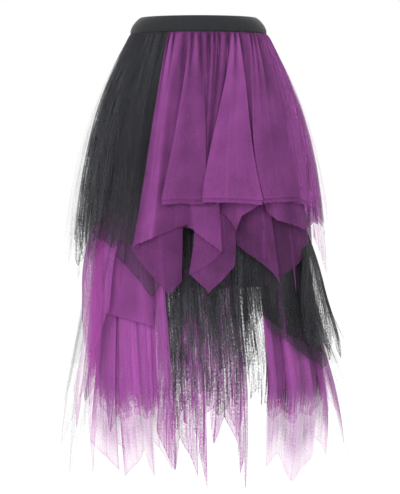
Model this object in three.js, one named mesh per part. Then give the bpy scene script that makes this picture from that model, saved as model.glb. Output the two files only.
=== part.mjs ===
// Asymmetric tulle skirt: an elastic waistband, a slip lining and two tiers of folded, pointed tulle panels.
// Millimetres, +Z up, front towards -Y. The origin is the middle of the waist at half the band's height.
import * as THREE from 'three';

// Waistband
const BAND_HEIGHT = 30;
const BAND_WALL = 3.6;
const BAND_ROUND = 1.0;
const BAND_BULGE = 0.8;
// The elastic draws the band's top edge in over the waist.
const BAND_LEAN = { width: 18, depth: 12, bend: 1.3 };
const BAND_STEPS = 72;

// Cloth
const TULLE_WALL = 1.0;
const LINING_WALL = 1.2;
const SEAM_GAP = 0.3;
const LINING_TUCK = 8;
const LINING_HEM = 482;
const LINING_STEPS = 72;

// The inner bell is the slip over the hips and the outer bell is the widest the tiers stand off it.
// Each is an ellipse that opens from the waist: half width and half depth at the waist, how much they
// grow, and how far down the growth takes.
const INNER = { width: 122, depth: 92, widthGrow: 56, depthGrow: 36, widthFall: 110, depthFall: 130 };
const OUTER = { width: 126, depth: 96, widthGrow: 132, depthGrow: 118, widthFall: 190, depthFall: 200 };
const OUTER_BEND = 0.95;
// The points spread below a height, and hang a little towards the wearer's left.
const FLARE = { from: 480, over: 150, width: 50, depth: 40, aside: 14 };

// Where each layer hangs: its share of the room between the bells, how far its top edge stands off the
// slip, the height of its top edge, and how far down it takes to leave the seam. relief is the share of
// the room that a fold with out = 1 stands proud of its layer.
const PLACE = {
  upperUnder: { share: 0.52, relief: 0.045, seat: 0.8, top: -15.6, leave: 70 },
  upperPoints: { share: 0.62, relief: 0.045, seat: 0.8, top: -15.6, leave: 70 },
  upperMain: { share: 0.745, relief: 0.07, seat: 2.3, top: -15.6, leave: 70 },
  upperOver: { share: 0.91, relief: 0.08, seat: 3.8, top: -15.6, leave: 70 },
  lowerFirst: { share: 0.25, relief: 0.09, seat: 1.0, top: -326, leave: 300 },
  lowerSecond: { share: 0.45, relief: 0.09, seat: 1.0, top: -304, leave: 300 },
  lowerThird: { share: 0.68, relief: 0.10, seat: 1.0, top: -290, leave: 300 },
  lowerFourth: { share: 0.90, relief: 0.10, seat: 1.0, top: -276, leave: 300 },
};

const CLOTH = {
  elastic: { color: 0x35373a, roughness: 0.7 },
  lining: { color: 0x1d1e22, roughness: 0.8 },
  black: { color: 0x2b2c30, roughness: 0.9 },
  purple: { color: 0x8a4489, roughness: 0.85 },
};

// Panel grid: columns from one fold line to the next, and rows from the top edge to the hem.
const COLUMNS_PER_FOLD = 2;
const PANEL_ROWS = 6;
const ROW_CROWDING = 1.25;
const FOLD_STRETCH = 1.4;

// A row of a fold table is one lengthwise fold line. top, mid and foot are its angles round the skirt in
// degrees at the top edge, half-way down and at the hem: 0 is the front, +90 the wearer's left side.
// out is how far the fold stands out (+) or in (-) from its layer, and drop is how far the hem hangs
// below the origin in millimetres.
// Upper tier, left: the black layer that hangs lowest, in front of the lower tier.
const UPPER_BLACK_UNDER = [
  { top: -29.5, mid: -29, foot: -19, out: -0.5, drop: 480 },
  { top: -32, mid: -31, foot: -23, out: 0.1, drop: 500 },
  { top: -34.5, mid: -33, foot: -30.5, out: 0.4, drop: 470 },
  { top: -37, mid: -36.5, foot: -40.5, out: -0.8, drop: 440 },
  { top: -44, mid: -45, foot: -48.5, out: 0.8, drop: 415 },
  { top: -51.5, mid: -56.5, foot: -61.5, out: -0.6, drop: 395 },
  { top: -61.5, mid: -69, foot: -72, out: 0.8, drop: 375 },
  { top: -74, mid: -75, foot: -74, out: -0.6, drop: 350 },
  { top: -90, mid: -90, foot: -90, out: 0.8, drop: 400 },
  { top: -106, mid: -107, foot: -108, out: -0.7, drop: 440 },
  { top: -122, mid: -123, foot: -124, out: 0.8, drop: 360 },
];

// Upper tier, left and left back: the main black panel; its first folds lie under the purple.
const UPPER_BLACK_MAIN = [
  { top: -29.8, mid: -32.5, foot: -36.5, out: -0.4, drop: 405 },
  { top: -33.5, mid: -34, foot: -37.5, out: 0.8, drop: 395 },
  { top: -40, mid: -41.5, foot: -46, out: -0.9, drop: 400 },
  { top: -45.5, mid: -47.5, foot: -49, out: 0.9, drop: 385 },
  { top: -52, mid: -58, foot: -59.5, out: -0.7, drop: 365 },
  { top: -60, mid: -66.5, foot: -65, out: 0.9, drop: 350 },
  { top: -71, mid: -84, foot: -76, out: -0.4, drop: 345 },
  { top: -86, mid: -87, foot: -88, out: 1, drop: 345 },
  { top: -98, mid: -99, foot: -100, out: -0.8, drop: 400 },
  { top: -110, mid: -111, foot: -112, out: 1, drop: 430 },
  { top: -122, mid: -123, foot: -124, out: -0.8, drop: 350 },
  { top: -136, mid: -136, foot: -136, out: 1, drop: 330 },
  { top: -150, mid: -150, foot: -150, out: -0.8, drop: 360 },
  { top: -164, mid: -164, foot: -164, out: 0.9, drop: 415 },
  { top: -178, mid: -178, foot: -178, out: 0, drop: 345 },
];

// Upper tier, left side: the outermost black layer, with the long side points.
const UPPER_BLACK_OVER = [
  { top: -47.5, mid: -47, foot: -50.5, out: -0.3, drop: 375 },
  { top: -52.5, mid: -53.5, foot: -54, out: 0.7, drop: 400 },
  { top: -57, mid: -62.5, foot: -63.5, out: -0.6, drop: 440 },
  { top: -64.5, mid: -74.5, foot: -71, out: 0.8, drop: 400 },
  { top: -76, mid: -76, foot: -75, out: 0.9, drop: 385 },
  { top: -92, mid: -93, foot: -94, out: -0.5, drop: 400 },
  { top: -106, mid: -108, foot: -110, out: 0.9, drop: 445 },
  { top: -121, mid: -123, foot: -124, out: -0.7, drop: 380 },
  { top: -135, mid: -137, foot: -138, out: 0.6, drop: 350 },
];

// Upper tier, right: the under purple panel with the right-hand point, round to the back.
const UPPER_PURPLE_UNDER = [
  { top: 20, mid: 19, foot: 19.5, out: -0.8, drop: 405 },
  { top: 25.5, mid: 23.5, foot: 25.5, out: 0.3, drop: 425 },
  { top: 33, mid: 31.5, foot: 38.5, out: 0.8, drop: 455 },
  { top: 37, mid: 36.5, foot: 44.5, out: 1, drop: 480 },
  { top: 40.5, mid: 41, foot: 47, out: -0.6, drop: 460 },
  { top: 47.5, mid: 50.5, foot: 63, out: -0.9, drop: 435 },
  { top: 56, mid: 57, foot: 69, out: 0.7, drop: 405 },
  { top: 66, mid: 68, foot: 72, out: -0.6, drop: 385 },
  { top: 79, mid: 80, foot: 81, out: 0.8, drop: 395 },
  { top: 92, mid: 93, foot: 94, out: -0.6, drop: 410 },
  { top: 106, mid: 107, foot: 108, out: 0.8, drop: 450 },
  { top: 121, mid: 122, foot: 123, out: -0.8, drop: 370 },
  { top: 136, mid: 137, foot: 138, out: 0.8, drop: 350 },
  { top: 151, mid: 151, foot: 151, out: -0.8, drop: 400 },
  { top: 165, mid: 165, foot: 165, out: 0.8, drop: 430 },
  { top: 179, mid: 179, foot: 179, out: 0, drop: 350 },
];

// Upper tier, front: the purple layer with the two hanging points, under the long panel.
const UPPER_PURPLE_POINTS = [
  { top: -28, mid: -28.6, foot: -33, out: 0.3, drop: 412 },
  { top: -26, mid: -25.5, foot: -24.5, out: -0.5, drop: 450 },
  { top: -23.5, mid: -21, foot: -14, out: 0.6, drop: 495 },
  { top: -20, mid: -16.5, foot: -8, out: -0.4, drop: 470 },
  { top: -16, mid: -13, foot: -6.5, out: 0.2, drop: 372 },
  { top: -11, mid: -8, foot: -5.6, out: -0.4, drop: 374 },
  { top: -6.5, mid: -4.5, foot: -4, out: 0.3, drop: 465 },
  { top: 1, mid: 3, foot: 5, out: 0.6, drop: 490 },
  { top: 8, mid: 8.5, foot: 10.5, out: -0.5, drop: 467 },
  { top: 14, mid: 14.5, foot: 17, out: 0.3, drop: 442 },
  { top: 17.5, mid: 17.2, foot: 18.5, out: 0, drop: 380 },
];

// Upper tier, front: the long purple panel, its hem dipping to a fold on either side.
const UPPER_PURPLE_LONG = [
  { top: -26.5, mid: -28.3, foot: -33, out: -0.2, drop: 410 },
  { top: -22.5, mid: -24, foot: -27, out: 0.9, drop: 400 },
  { top: -18, mid: -18, foot: -21.5, out: -0.6, drop: 390 },
  { top: -12, mid: -11, foot: -9.5, out: 0.9, drop: 375 },
  { top: -5.5, mid: -4.5, foot: -4, out: -0.8, drop: 370 },
  { top: 0.5, mid: 1.5, foot: 2.5, out: 0.7, drop: 390 },
  { top: 5.5, mid: 8, foot: 10.5, out: 0.7, drop: 420 },
  { top: 8, mid: 10.5, foot: 12.2, out: -0.7, drop: 338 },
  { top: 15, mid: 14.5, foot: 16.5, out: -0.8, drop: 342 },
  { top: 20.5, mid: 18, foot: 18.4, out: 0, drop: 382 },
  { top: 27, mid: 21, foot: 21, out: 0.8, drop: 355 },
  { top: 34.5, mid: 25, foot: 26, out: 1, drop: 340 },
  { top: 44.5, mid: 33, foot: 33, out: 0.8, drop: 330 },
  { top: 56.5, mid: 46.5, foot: 46, out: -0.6, drop: 335 },
  { top: 68.5, mid: 57.5, foot: 56.5, out: 0.8, drop: 345 },
  { top: 78, mid: 76, foot: 74, out: -0.5, drop: 345 },
  { top: 92, mid: 92, foot: 92, out: 0.7, drop: 370 },
  { top: 106, mid: 106, foot: 106, out: -0.6, drop: 335 },
];

// Upper tier, front and right: the short outer purple panel, round to the back.
const UPPER_PURPLE_SHORT = [
  { top: -8.5, mid: -11, foot: -17.8, out: 0.2, drop: 325 },
  { top: -5, mid: -9, foot: -14, out: 1.7, drop: 325 },
  { top: -1, mid: -2, foot: -4, out: 1.5, drop: 325 },
  { top: 2, mid: 2.5, foot: 1, out: 0.9, drop: 325 },
  { top: 5.5, mid: 5, foot: 2.5, out: -0.75, drop: 325 },
  { top: 12.5, mid: 6.5, foot: 3.5, out: -0.2, drop: 325 },
  { top: 24, mid: 10, foot: 4.5, out: 1.5, drop: 320 },
  { top: 30, mid: 16.5, foot: 13, out: 2.1, drop: 320 },
  { top: 36, mid: 28, foot: 26.5, out: 1.6, drop: 325 },
  { top: 40.5, mid: 32.5, foot: 31.5, out: 0.1, drop: 325 },
  { top: 44.5, mid: 35, foot: 34.5, out: -0.9, drop: 325 },
  { top: 54, mid: 39, foot: 39, out: 1.5, drop: 320 },
  { top: 62.5, mid: 48.5, foot: 47.5, out: 1.6, drop: 320 },
  { top: 69, mid: 58.5, foot: 57.5, out: -0.8, drop: 320 },
  { top: 75, mid: 66, foot: 59, out: 1.2, drop: 325 },
  { top: 86, mid: 86, foot: 87, out: 0.2, drop: 335 },
  { top: 98, mid: 99, foot: 100, out: 1.7, drop: 365 },
  { top: 111, mid: 112, foot: 113, out: -0.8, drop: 330 },
  { top: 124, mid: 125, foot: 126, out: 1.6, drop: 340 },
  { top: 138, mid: 139, foot: 140, out: -0.8, drop: 325 },
  { top: 152, mid: 152, foot: 152, out: 1.8, drop: 350 },
  { top: 166, mid: 166, foot: 166, out: -0.7, drop: 375 },
  { top: 179, mid: 179, foot: 179, out: 0.5, drop: 335 },
];

// Lower tier, left side: the outermost sheer black panel.
const LOWER_BLACK_LEFT = [
  { top: -65, mid: -64.5, foot: -62, out: -0.5, drop: 600 },
  { top: -70, mid: -69, foot: -65.5, out: 0.6, drop: 690 },
  { top: -76, mid: -75, foot: -71, out: -0.5, drop: 745 },
  { top: -83, mid: -82, foot: -78, out: 0.1, drop: 640 },
  { top: -93, mid: -92, foot: -90, out: -0.8, drop: 590 },
  { top: -104, mid: -104, foot: -104, out: 0.3, drop: 620 },
  { top: -118, mid: -118, foot: -118, out: -0.8, drop: 560 },
  { top: -132, mid: -131, foot: -130, out: 0.7, drop: 690 },
];

// Lower tier, left front: the short purple panel on top.
const LOWER_PURPLE_LEFT_SHORT = [
  { top: -30.5, mid: -26, foot: -22.5, out: -2, drop: 510 },
  { top: -33.5, mid: -27, foot: -22.5, out: -0.9, drop: 555 },
  { top: -39.5, mid: -32, foot: -27, out: 0.4, drop: 545 },
  { top: -46, mid: -39.5, foot: -36, out: -0.9, drop: 540 },
  { top: -53.5, mid: -47.5, foot: -46.5, out: 0.5, drop: 530 },
  { top: -58, mid: -54.5, foot: -52, out: 0.9, drop: 530 },
  { top: -61.5, mid: -61, foot: -58, out: -0.2, drop: 495 },
];

// Lower tier, left front: the long purple panel.
const LOWER_PURPLE_LEFT_LONG = [
  { top: -77.5, mid: -74, foot: -59.5, out: 0.3, drop: 825 },
  { top: -68, mid: -67, foot: -52.5, out: 1, drop: 700 },
  { top: -58.5, mid: -57, foot: -44.5, out: -0.9, drop: 760 },
  { top: -51, mid: -47.5, foot: -36.5, out: 0.9, drop: 810 },
  { top: -45.5, mid: -44, foot: -35.5, out: -0.2, drop: 820 },
  { top: -40.5, mid: -39, foot: -33.5, out: -1, drop: 730 },
  { top: -36, mid: -31.5, foot: -25, out: 0.6, drop: 790 },
  { top: -32.5, mid: -27, foot: -20.5, out: 1, drop: 815 },
  { top: -29, mid: -25, foot: -20.5, out: -0.9, drop: 740 },
];

// Lower tier, centre front: the purple panel behind the black, with the longest points.
const LOWER_PURPLE_CENTRE = [
  { top: -26, mid: -24, foot: -26, out: -0.6, drop: 735 },
  { top: -21, mid: -18.5, foot: -16, out: 0.8, drop: 810 },
  { top: -16, mid: -13, foot: -11.5, out: -0.8, drop: 725 },
  { top: -11, mid: -8, foot: -4, out: 0.7, drop: 825 },
  { top: -7, mid: -3.5, foot: -2.5, out: -0.7, drop: 785 },
  { top: -3.5, mid: -1, foot: -0.5, out: 0.8, drop: 850 },
  { top: 1, mid: 4, foot: 2.5, out: -0.6, drop: 705 },
  { top: 7, mid: 8.5, foot: 7.5, out: 0.8, drop: 685 },
  { top: 13, mid: 15, foot: 15, out: -0.7, drop: 725 },
  { top: 17.5, mid: 18.5, foot: 19.5, out: 0.8, drop: 835 },
  { top: 22, mid: 25.5, foot: 24.5, out: -0.4, drop: 690 },
];

// Lower tier, centre front: the black panel over the purple points.
const LOWER_BLACK_CENTRE = [
  { top: -33, mid: -29.5, foot: -29, out: -0.6, drop: 685 },
  { top: -27.5, mid: -22.5, foot: -21, out: 0.9, drop: 735 },
  { top: -22, mid: -18.5, foot: -17.5, out: -0.9, drop: 760 },
  { top: -17, mid: -12.5, foot: -12, out: 0.9, drop: 715 },
  { top: -11.5, mid: -8, foot: -7, out: -0.8, drop: 765 },
  { top: -6, mid: -2, foot: -1, out: 0.9, drop: 705 },
  { top: -0.5, mid: 3.5, foot: 4, out: -0.8, drop: 765 },
  { top: 5.5, mid: 8, foot: 7.5, out: 0.9, drop: 705 },
  { top: 11.5, mid: 14, foot: 12.5, out: -0.8, drop: 750 },
  { top: 18, mid: 20.5, foot: 18, out: 0.9, drop: 690 },
  { top: 23, mid: 26, foot: 24.5, out: -0.4, drop: 620 },
];

// Lower tier, right front and side: the long purple panel.
const LOWER_PURPLE_RIGHT = [
  { top: 37, mid: 32, foot: 25, out: 0.3, drop: 805 },
  { top: 40, mid: 36.5, foot: 28.5, out: 1, drop: 740 },
  { top: 45, mid: 45, foot: 36.5, out: -0.9, drop: 730 },
  { top: 50.5, mid: 45, foot: 35, out: 0.9, drop: 830 },
  { top: 58.5, mid: 62.5, foot: 48.5, out: -0.8, drop: 735 },
  { top: 67, mid: 70, foot: 53.5, out: 0.9, drop: 715 },
  { top: 69, mid: 70, foot: 68, out: -0.6, drop: 790 },
  { top: 76, mid: 77, foot: 77, out: 1.2, drop: 725 },
  { top: 84, mid: 86, foot: 88, out: 0.6, drop: 825 },
  { top: 96, mid: 97, foot: 98, out: -0.8, drop: 650 },
  { top: 109, mid: 109, foot: 109, out: 0.9, drop: 690 },
  { top: 122, mid: 122, foot: 122, out: -0.5, drop: 610 },
];

// Lower tier, right front and side: the black panel over the purple.
const LOWER_BLACK_RIGHT = [
  { top: 23, mid: 21.5, foot: 20.5, out: -1.2, drop: 545 },
  { top: 27.5, mid: 26, foot: 23, out: -0.4, drop: 585 },
  { top: 33.5, mid: 32.5, foot: 31.5, out: 0.7, drop: 530 },
  { top: 38.5, mid: 37.5, foot: 34.5, out: -0.4, drop: 560 },
  { top: 47, mid: 48, foot: 43.5, out: 0.9, drop: 590 },
  { top: 58, mid: 65, foot: 56.5, out: -0.7, drop: 610 },
  { top: 67.5, mid: 72, foot: 70, out: 1.2, drop: 635 },
  { top: 76, mid: 79, foot: 78, out: 1.6, drop: 650 },
  { top: 86, mid: 87, foot: 88, out: 0.2, drop: 560 },
  { top: 98, mid: 99, foot: 100, out: 1, drop: 520 },
  { top: 110, mid: 111, foot: 112, out: -0.6, drop: 600 },
];

// Lower tier, right back: the purple panel.
const LOWER_BACK_PURPLE = [
  { top: 126, mid: 126.5, foot: 127, out: 0.5, drop: 560 },
  { top: 132, mid: 132, foot: 133, out: 0.9, drop: 640 },
  { top: 138, mid: 138, foot: 139, out: -0.9, drop: 560 },
  { top: 148, mid: 147, foot: 146, out: 0.3, drop: 470 },
  { top: 158, mid: 159, foot: 160, out: 0.9, drop: 520 },
  { top: 170, mid: 171, foot: 172, out: -0.9, drop: 640 },
  { top: 180, mid: 180, foot: 181, out: 0.9, drop: 690 },
  { top: 191, mid: 191, foot: 192, out: -0.9, drop: 650 },
];

// Lower tier, left back: the black panel.
const LOWER_BACK_BLACK = [
  { top: -165, mid: -164, foot: -163, out: 0.3, drop: 640 },
  { top: -155, mid: -154, foot: -153, out: 0.9, drop: 730 },
  { top: -144, mid: -144, foot: -143, out: -0.9, drop: 680 },
  { top: -133, mid: -134, foot: -133, out: 0.9, drop: 760 },
  { top: -122, mid: -123, foot: -123, out: -0.9, drop: 640 },
  { top: -112, mid: -112, foot: -112, out: 0.9, drop: 700 },
  { top: -100, mid: -100, foot: -101, out: -0.4, drop: 600 },
];

// Every tulle panel: its node, its place among the layers, its cloth and its folds.
const PANELS = [
  { node: 'upper_black_under', place: PLACE.upperUnder,
    cloth: CLOTH.black, folds: UPPER_BLACK_UNDER },
  { node: 'upper_black_main', place: PLACE.upperMain,
    cloth: CLOTH.black, folds: UPPER_BLACK_MAIN },
  { node: 'upper_black_over', place: PLACE.upperOver,
    cloth: CLOTH.black, folds: UPPER_BLACK_OVER },
  { node: 'upper_purple_under', place: PLACE.upperUnder,
    cloth: CLOTH.purple, folds: UPPER_PURPLE_UNDER },
  { node: 'upper_purple_points', place: PLACE.upperPoints,
    cloth: CLOTH.purple, folds: UPPER_PURPLE_POINTS },
  { node: 'upper_purple_long', place: PLACE.upperMain,
    cloth: CLOTH.purple, folds: UPPER_PURPLE_LONG },
  { node: 'upper_purple_short', place: PLACE.upperOver,
    cloth: CLOTH.purple, folds: UPPER_PURPLE_SHORT },
  { node: 'lower_black_left', place: PLACE.lowerFourth,
    cloth: CLOTH.black, folds: LOWER_BLACK_LEFT },
  { node: 'lower_purple_left_short', place: PLACE.lowerFourth,
    cloth: CLOTH.purple, folds: LOWER_PURPLE_LEFT_SHORT },
  { node: 'lower_purple_left_long', place: PLACE.lowerThird,
    cloth: CLOTH.purple, folds: LOWER_PURPLE_LEFT_LONG },
  { node: 'lower_purple_centre', place: PLACE.lowerFirst,
    cloth: CLOTH.purple, folds: LOWER_PURPLE_CENTRE },
  { node: 'lower_black_centre', place: PLACE.lowerSecond,
    cloth: CLOTH.black, folds: LOWER_BLACK_CENTRE },
  { node: 'lower_purple_right', place: PLACE.lowerThird,
    cloth: CLOTH.purple, folds: LOWER_PURPLE_RIGHT },
  { node: 'lower_black_right', place: PLACE.lowerFourth,
    cloth: CLOTH.black, folds: LOWER_BLACK_RIGHT },
  { node: 'lower_back_purple', place: PLACE.lowerThird,
    cloth: CLOTH.purple, folds: LOWER_BACK_PURPLE },
  { node: 'lower_back_black', place: PLACE.lowerThird,
    cloth: CLOTH.black, folds: LOWER_BACK_BLACK },
];

const radians = (degrees) => (degrees * Math.PI) / 180;

// Half widths and half depths of the inner and outer bells at a height.
function bells(z) {
  const down = Math.max(0, -BAND_HEIGHT / 2 - z);
  const inWidth = INNER.width + INNER.widthGrow * (1 - Math.exp(-down / INNER.widthFall));
  const inDepth = INNER.depth + INNER.depthGrow * (1 - Math.exp(-down / INNER.depthFall));
  const past = Math.max(0, -FLARE.from - z) / FLARE.over;
  const flare = 1 - Math.exp(-past * past);
  const widthRise = 1 - Math.exp(-Math.pow(down / OUTER.widthFall, OUTER_BEND));
  const depthRise = 1 - Math.exp(-Math.pow(down / OUTER.depthFall, OUTER_BEND));
  return {
    inWidth,
    inDepth,
    outWidth: OUTER.width + OUTER.widthGrow * widthRise + FLARE.width * flare,
    outDepth: OUTER.depth + OUTER.depthGrow * depthRise + FLARE.depth * flare,
    aside: FLARE.aside * flare,
  };
}

// A point at an angle round the skirt, at a share of the room between the bells.
function around(angle, z, share, seat, left) {
  const b = bells(z);
  const width = b.inWidth + seat * (1 - left) + share * left * (b.outWidth - b.inWidth);
  const depth = b.inDepth + seat * (1 - left) + share * left * (b.outDepth - b.inDepth);
  const turn = radians(angle);
  return new THREE.Vector3(b.aside + width * Math.sin(turn), -depth * Math.cos(turn), z);
}

// The fold lines blended across a panel: rounded between neighbours, but with the hem's corners kept.
function foldAt(folds, across) {
  const near = Math.min(folds.length - 1, Math.round(across));
  const side = across - near + 0.5;
  const before = (1 - side) * (1 - side) / 2;
  const after = side * side / 2;
  const here = 1 - before - after;
  const line = folds[near];
  const last = folds[near - 1];
  const next = folds[near + 1];
  const blend = (key) => {
    const low = last ? last[key] : 2 * line[key] - next[key];
    const high = next ? next[key] : 2 * line[key] - last[key];
    return before * low + here * line[key] + after * high;
  };
  const from = Math.min(folds.length - 2, Math.floor(across));
  const share = across - from;
  const drop = folds[from].drop * (1 - share) + folds[from + 1].drop * share;
  return { top: blend('top'), mid: blend('mid'), foot: blend('foot'), out: blend('out'), drop };
}

// The point on a panel's middle surface: across counts fold lines, down goes from 0 at the top to 1.
function panelPoint(place, folds, across, down) {
  const fold = foldAt(folds, across);
  const z = place.top + (-fold.drop - place.top) * down;
  const atTop = (1 - down) * (1 - 2 * down);
  const atMid = 4 * down * (1 - down);
  const atFoot = down * (2 * down - 1);
  const angle = fold.top * atTop + fold.mid * atMid + fold.foot * atFoot;
  const left = 1 - Math.exp(-(place.top - z) / place.leave);
  return around(angle, z, place.share + place.relief * fold.out, place.seat, left);
}

// The direction of a line of points at one of them: half-way between the stretches before and after it.
function directionAt(before, here, after) {
  const direction = new THREE.Vector3();
  if (before) {
    direction.add(here.clone().sub(before).normalize());
  }
  if (after) {
    direction.add(after.clone().sub(here).normalize());
  }
  return direction;
}

// A closed wall of even thickness on a grid of middle points, as one mesh. Where the cloth turns sharply
// the wall is drawn out along the corner's bisector, so that it stays as thick round the fold.
function wallFromGrid(grid, wall) {
  const columns = grid.length;
  const rows = grid[0].length;
  const positions = [];
  for (const side of [1, -1]) {
    for (let i = 0; i < columns; i += 1) {
      for (let j = 0; j < rows; j += 1) {
        const here = grid[i][j];
        const across = directionAt(grid[i - 1]?.[j], here, grid[i + 1]?.[j]);
        const along = directionAt(grid[i][j - 1], here, grid[i][j + 1]);
        const inner = i > 0 && i + 1 < columns;
        const stretch = inner ? Math.min(FOLD_STRETCH, 2 / across.length()) : 1;
        const normal = along.cross(across).normalize();
        const point = here.clone().addScaledVector(normal, side * stretch * wall / 2);
        positions.push(point.x, point.y, point.z);
      }
    }
  }
  const at = (side, i, j) => side * columns * rows + i * rows + j;
  const index = [];
  const quad = (a, b, c, d) => index.push(a, b, c, a, c, d);
  for (let i = 0; i + 1 < columns; i += 1) {
    for (let j = 0; j + 1 < rows; j += 1) {
      quad(at(0, i, j), at(0, i, j + 1), at(0, i + 1, j + 1), at(0, i + 1, j));
      quad(at(1, i, j), at(1, i + 1, j), at(1, i + 1, j + 1), at(1, i, j + 1));
    }
    quad(at(0, i, 0), at(0, i + 1, 0), at(1, i + 1, 0), at(1, i, 0));
    quad(at(0, i + 1, rows - 1), at(0, i, rows - 1), at(1, i, rows - 1), at(1, i + 1, rows - 1));
  }
  for (let j = 0; j + 1 < rows; j += 1) {
    quad(at(0, 0, j + 1), at(0, 0, j), at(1, 0, j), at(1, 0, j + 1));
    const end = columns - 1;
    quad(at(0, end, j), at(0, end, j + 1), at(1, end, j + 1), at(1, end, j));
  }
  return closedGeometry(positions, index);
}

// Turns a closed shell right way out, so its volume is positive.
function closedGeometry(positions, index) {
  let volume = 0;
  const corner = (n) => new THREE.Vector3(positions[3 * n], positions[3 * n + 1], positions[3 * n + 2]);
  for (let n = 0; n < index.length; n += 3) {
    volume += corner(index[n]).dot(corner(index[n + 1]).cross(corner(index[n + 2])));
  }
  if (volume < 0) {
    index.reverse();
  }
  const geometry = new THREE.BufferGeometry();
  geometry.setAttribute('position', new THREE.Float32BufferAttribute(positions, 3));
  geometry.setIndex(index);
  geometry.computeVertexNormals();
  return geometry;
}

// A closed ring swept round the skirt from a profile of {width, depth, z} points.
function ringFromProfile(profile, steps) {
  const positions = [];
  const index = [];
  for (let i = 0; i < steps; i += 1) {
    const angle = radians((360 * i) / steps);
    for (const p of profile) {
      positions.push(p.width * Math.sin(angle), -p.depth * Math.cos(angle), p.z);
    }
  }
  const count = profile.length;
  const at = (i, j) => (i % steps) * count + (j % count);
  for (let i = 0; i < steps; i += 1) {
    for (let j = 0; j < count; j += 1) {
      index.push(at(i, j), at(i + 1, j), at(i + 1, j + 1), at(i, j), at(i + 1, j + 1), at(i, j + 1));
    }
  }
  return closedGeometry(positions, index);
}

// The inside of the band at a height: the slip's outside drawn in towards the top edge.
function bandInside(z) {
  const half = BAND_HEIGHT / 2;
  const lean = Math.pow(Math.max(0, z + half) / BAND_HEIGHT, BAND_LEAN.bend);
  return { width: INNER.width - BAND_LEAN.width * lean, depth: INNER.depth - BAND_LEAN.depth * lean };
}

function waistband() {
  const half = BAND_HEIGHT / 2;
  const point = (off, z) => {
    const inside = bandInside(z);
    return { width: inside.width + SEAM_GAP + off, depth: inside.depth + SEAM_GAP + off, z };
  };
  return ringFromProfile([
    point(0, half - BAND_ROUND),
    point(BAND_ROUND, half),
    point(BAND_WALL - BAND_ROUND, half),
    point(BAND_WALL, half - BAND_ROUND),
    point(BAND_WALL + BAND_BULGE, half / 3),
    point(BAND_WALL + BAND_BULGE, -half / 3),
    point(BAND_WALL, BAND_ROUND - half),
    point(BAND_WALL - BAND_ROUND, -half),
    point(BAND_ROUND, -half),
    point(0, BAND_ROUND - half),
    point(0, LINING_TUCK - half),
    point(0, 0),
  ], BAND_STEPS);
}

function lining() {
  const tuck = LINING_TUCK - BAND_HEIGHT / 2;
  const heights = [tuck, -BAND_HEIGHT / 2, -60, -110, -180, -280, -LINING_HEM];
  const outside = heights.map((z) => {
    if (z > -BAND_HEIGHT / 2) {
      return { ...bandInside(z), z };
    }
    return { width: bells(z).inWidth, depth: bells(z).inDepth, z };
  });
  const inner = (p) => ({ width: p.width - LINING_WALL, depth: p.depth - LINING_WALL, z: p.z });
  return ringFromProfile([...outside, ...outside.map(inner).reverse()], LINING_STEPS);
}

function tullePanel(place, folds) {
  const columns = (folds.length - 1) * COLUMNS_PER_FOLD;
  const grid = [];
  for (let i = 0; i <= columns; i += 1) {
    const column = [];
    for (let j = 0; j <= PANEL_ROWS; j += 1) {
      const down = Math.pow(j / PANEL_ROWS, ROW_CROWDING);
      column.push(panelPoint(place, folds, i / COLUMNS_PER_FOLD, down));
    }
    grid.push(column);
  }
  return wallFromGrid(grid, TULLE_WALL);
}

function piece(name, geometry, cloth) {
  const material = new THREE.MeshStandardMaterial({ ...cloth, side: THREE.DoubleSide });
  const mesh = new THREE.Mesh(geometry, material);
  mesh.name = name;
  return mesh;
}

const skirt = new THREE.Group();
skirt.name = 'asymmetric_skirt';
skirt.add(piece('waistband', waistband(), CLOTH.elastic));
skirt.add(piece('lining', lining(), CLOTH.lining));
for (const panel of PANELS) {
  skirt.add(piece(panel.node, tullePanel(panel.place, panel.folds), panel.cloth));
}

export default skirt;
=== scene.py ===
"""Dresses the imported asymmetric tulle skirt: net panels in several plies, a knit slip and an elastic band."""

import math

import bmesh
import bpy
import numpy as np
from bpy.props import FloatProperty, FloatVectorProperty, IntProperty, PointerProperty
from bpy.types import Operator, Panel, PropertyGroup
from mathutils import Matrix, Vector


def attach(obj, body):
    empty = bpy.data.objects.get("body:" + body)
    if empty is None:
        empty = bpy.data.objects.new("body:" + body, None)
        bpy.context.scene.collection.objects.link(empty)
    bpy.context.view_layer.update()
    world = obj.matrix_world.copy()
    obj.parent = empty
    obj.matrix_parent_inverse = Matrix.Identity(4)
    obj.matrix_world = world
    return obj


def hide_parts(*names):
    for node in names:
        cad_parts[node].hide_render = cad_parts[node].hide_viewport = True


bl_info = {
    "name": "Asymmetric tulle skirt",
    "version": (1, 0, 0),
    "blender": (4, 5, 0),
    "location": "View3D > Sidebar > Skirt",
    "description": "Builds the net panels, slip and waistband of a two-tier tulle skirt",
    "category": "Add Mesh",
}

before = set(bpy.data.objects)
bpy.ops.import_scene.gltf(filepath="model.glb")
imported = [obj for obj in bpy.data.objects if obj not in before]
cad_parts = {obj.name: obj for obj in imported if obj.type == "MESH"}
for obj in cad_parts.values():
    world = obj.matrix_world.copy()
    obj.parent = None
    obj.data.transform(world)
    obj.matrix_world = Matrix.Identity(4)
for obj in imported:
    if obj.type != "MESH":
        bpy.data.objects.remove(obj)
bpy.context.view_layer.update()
MM = 0.001

# The bells that the layers hang between, in millimetres: the slip over the hips, and the widest the
# tiers stand off it. Each is an ellipse that opens from the waist down.
BAND_HALF = 15.0
INNER = {"width": 122, "depth": 92, "width_grow": 56, "depth_grow": 36, "width_fall": 110, "depth_fall": 130}
OUTER = {"width": 126, "depth": 96, "width_grow": 132, "depth_grow": 118, "width_fall": 190, "depth_fall": 200}
OUTER_BEND = 0.95
FLARE = {"from": 480, "over": 150, "width": 50, "depth": 40, "aside": 14}
BAND_LEAN = {"width": 18, "depth": 12, "bend": 2.0}

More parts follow.
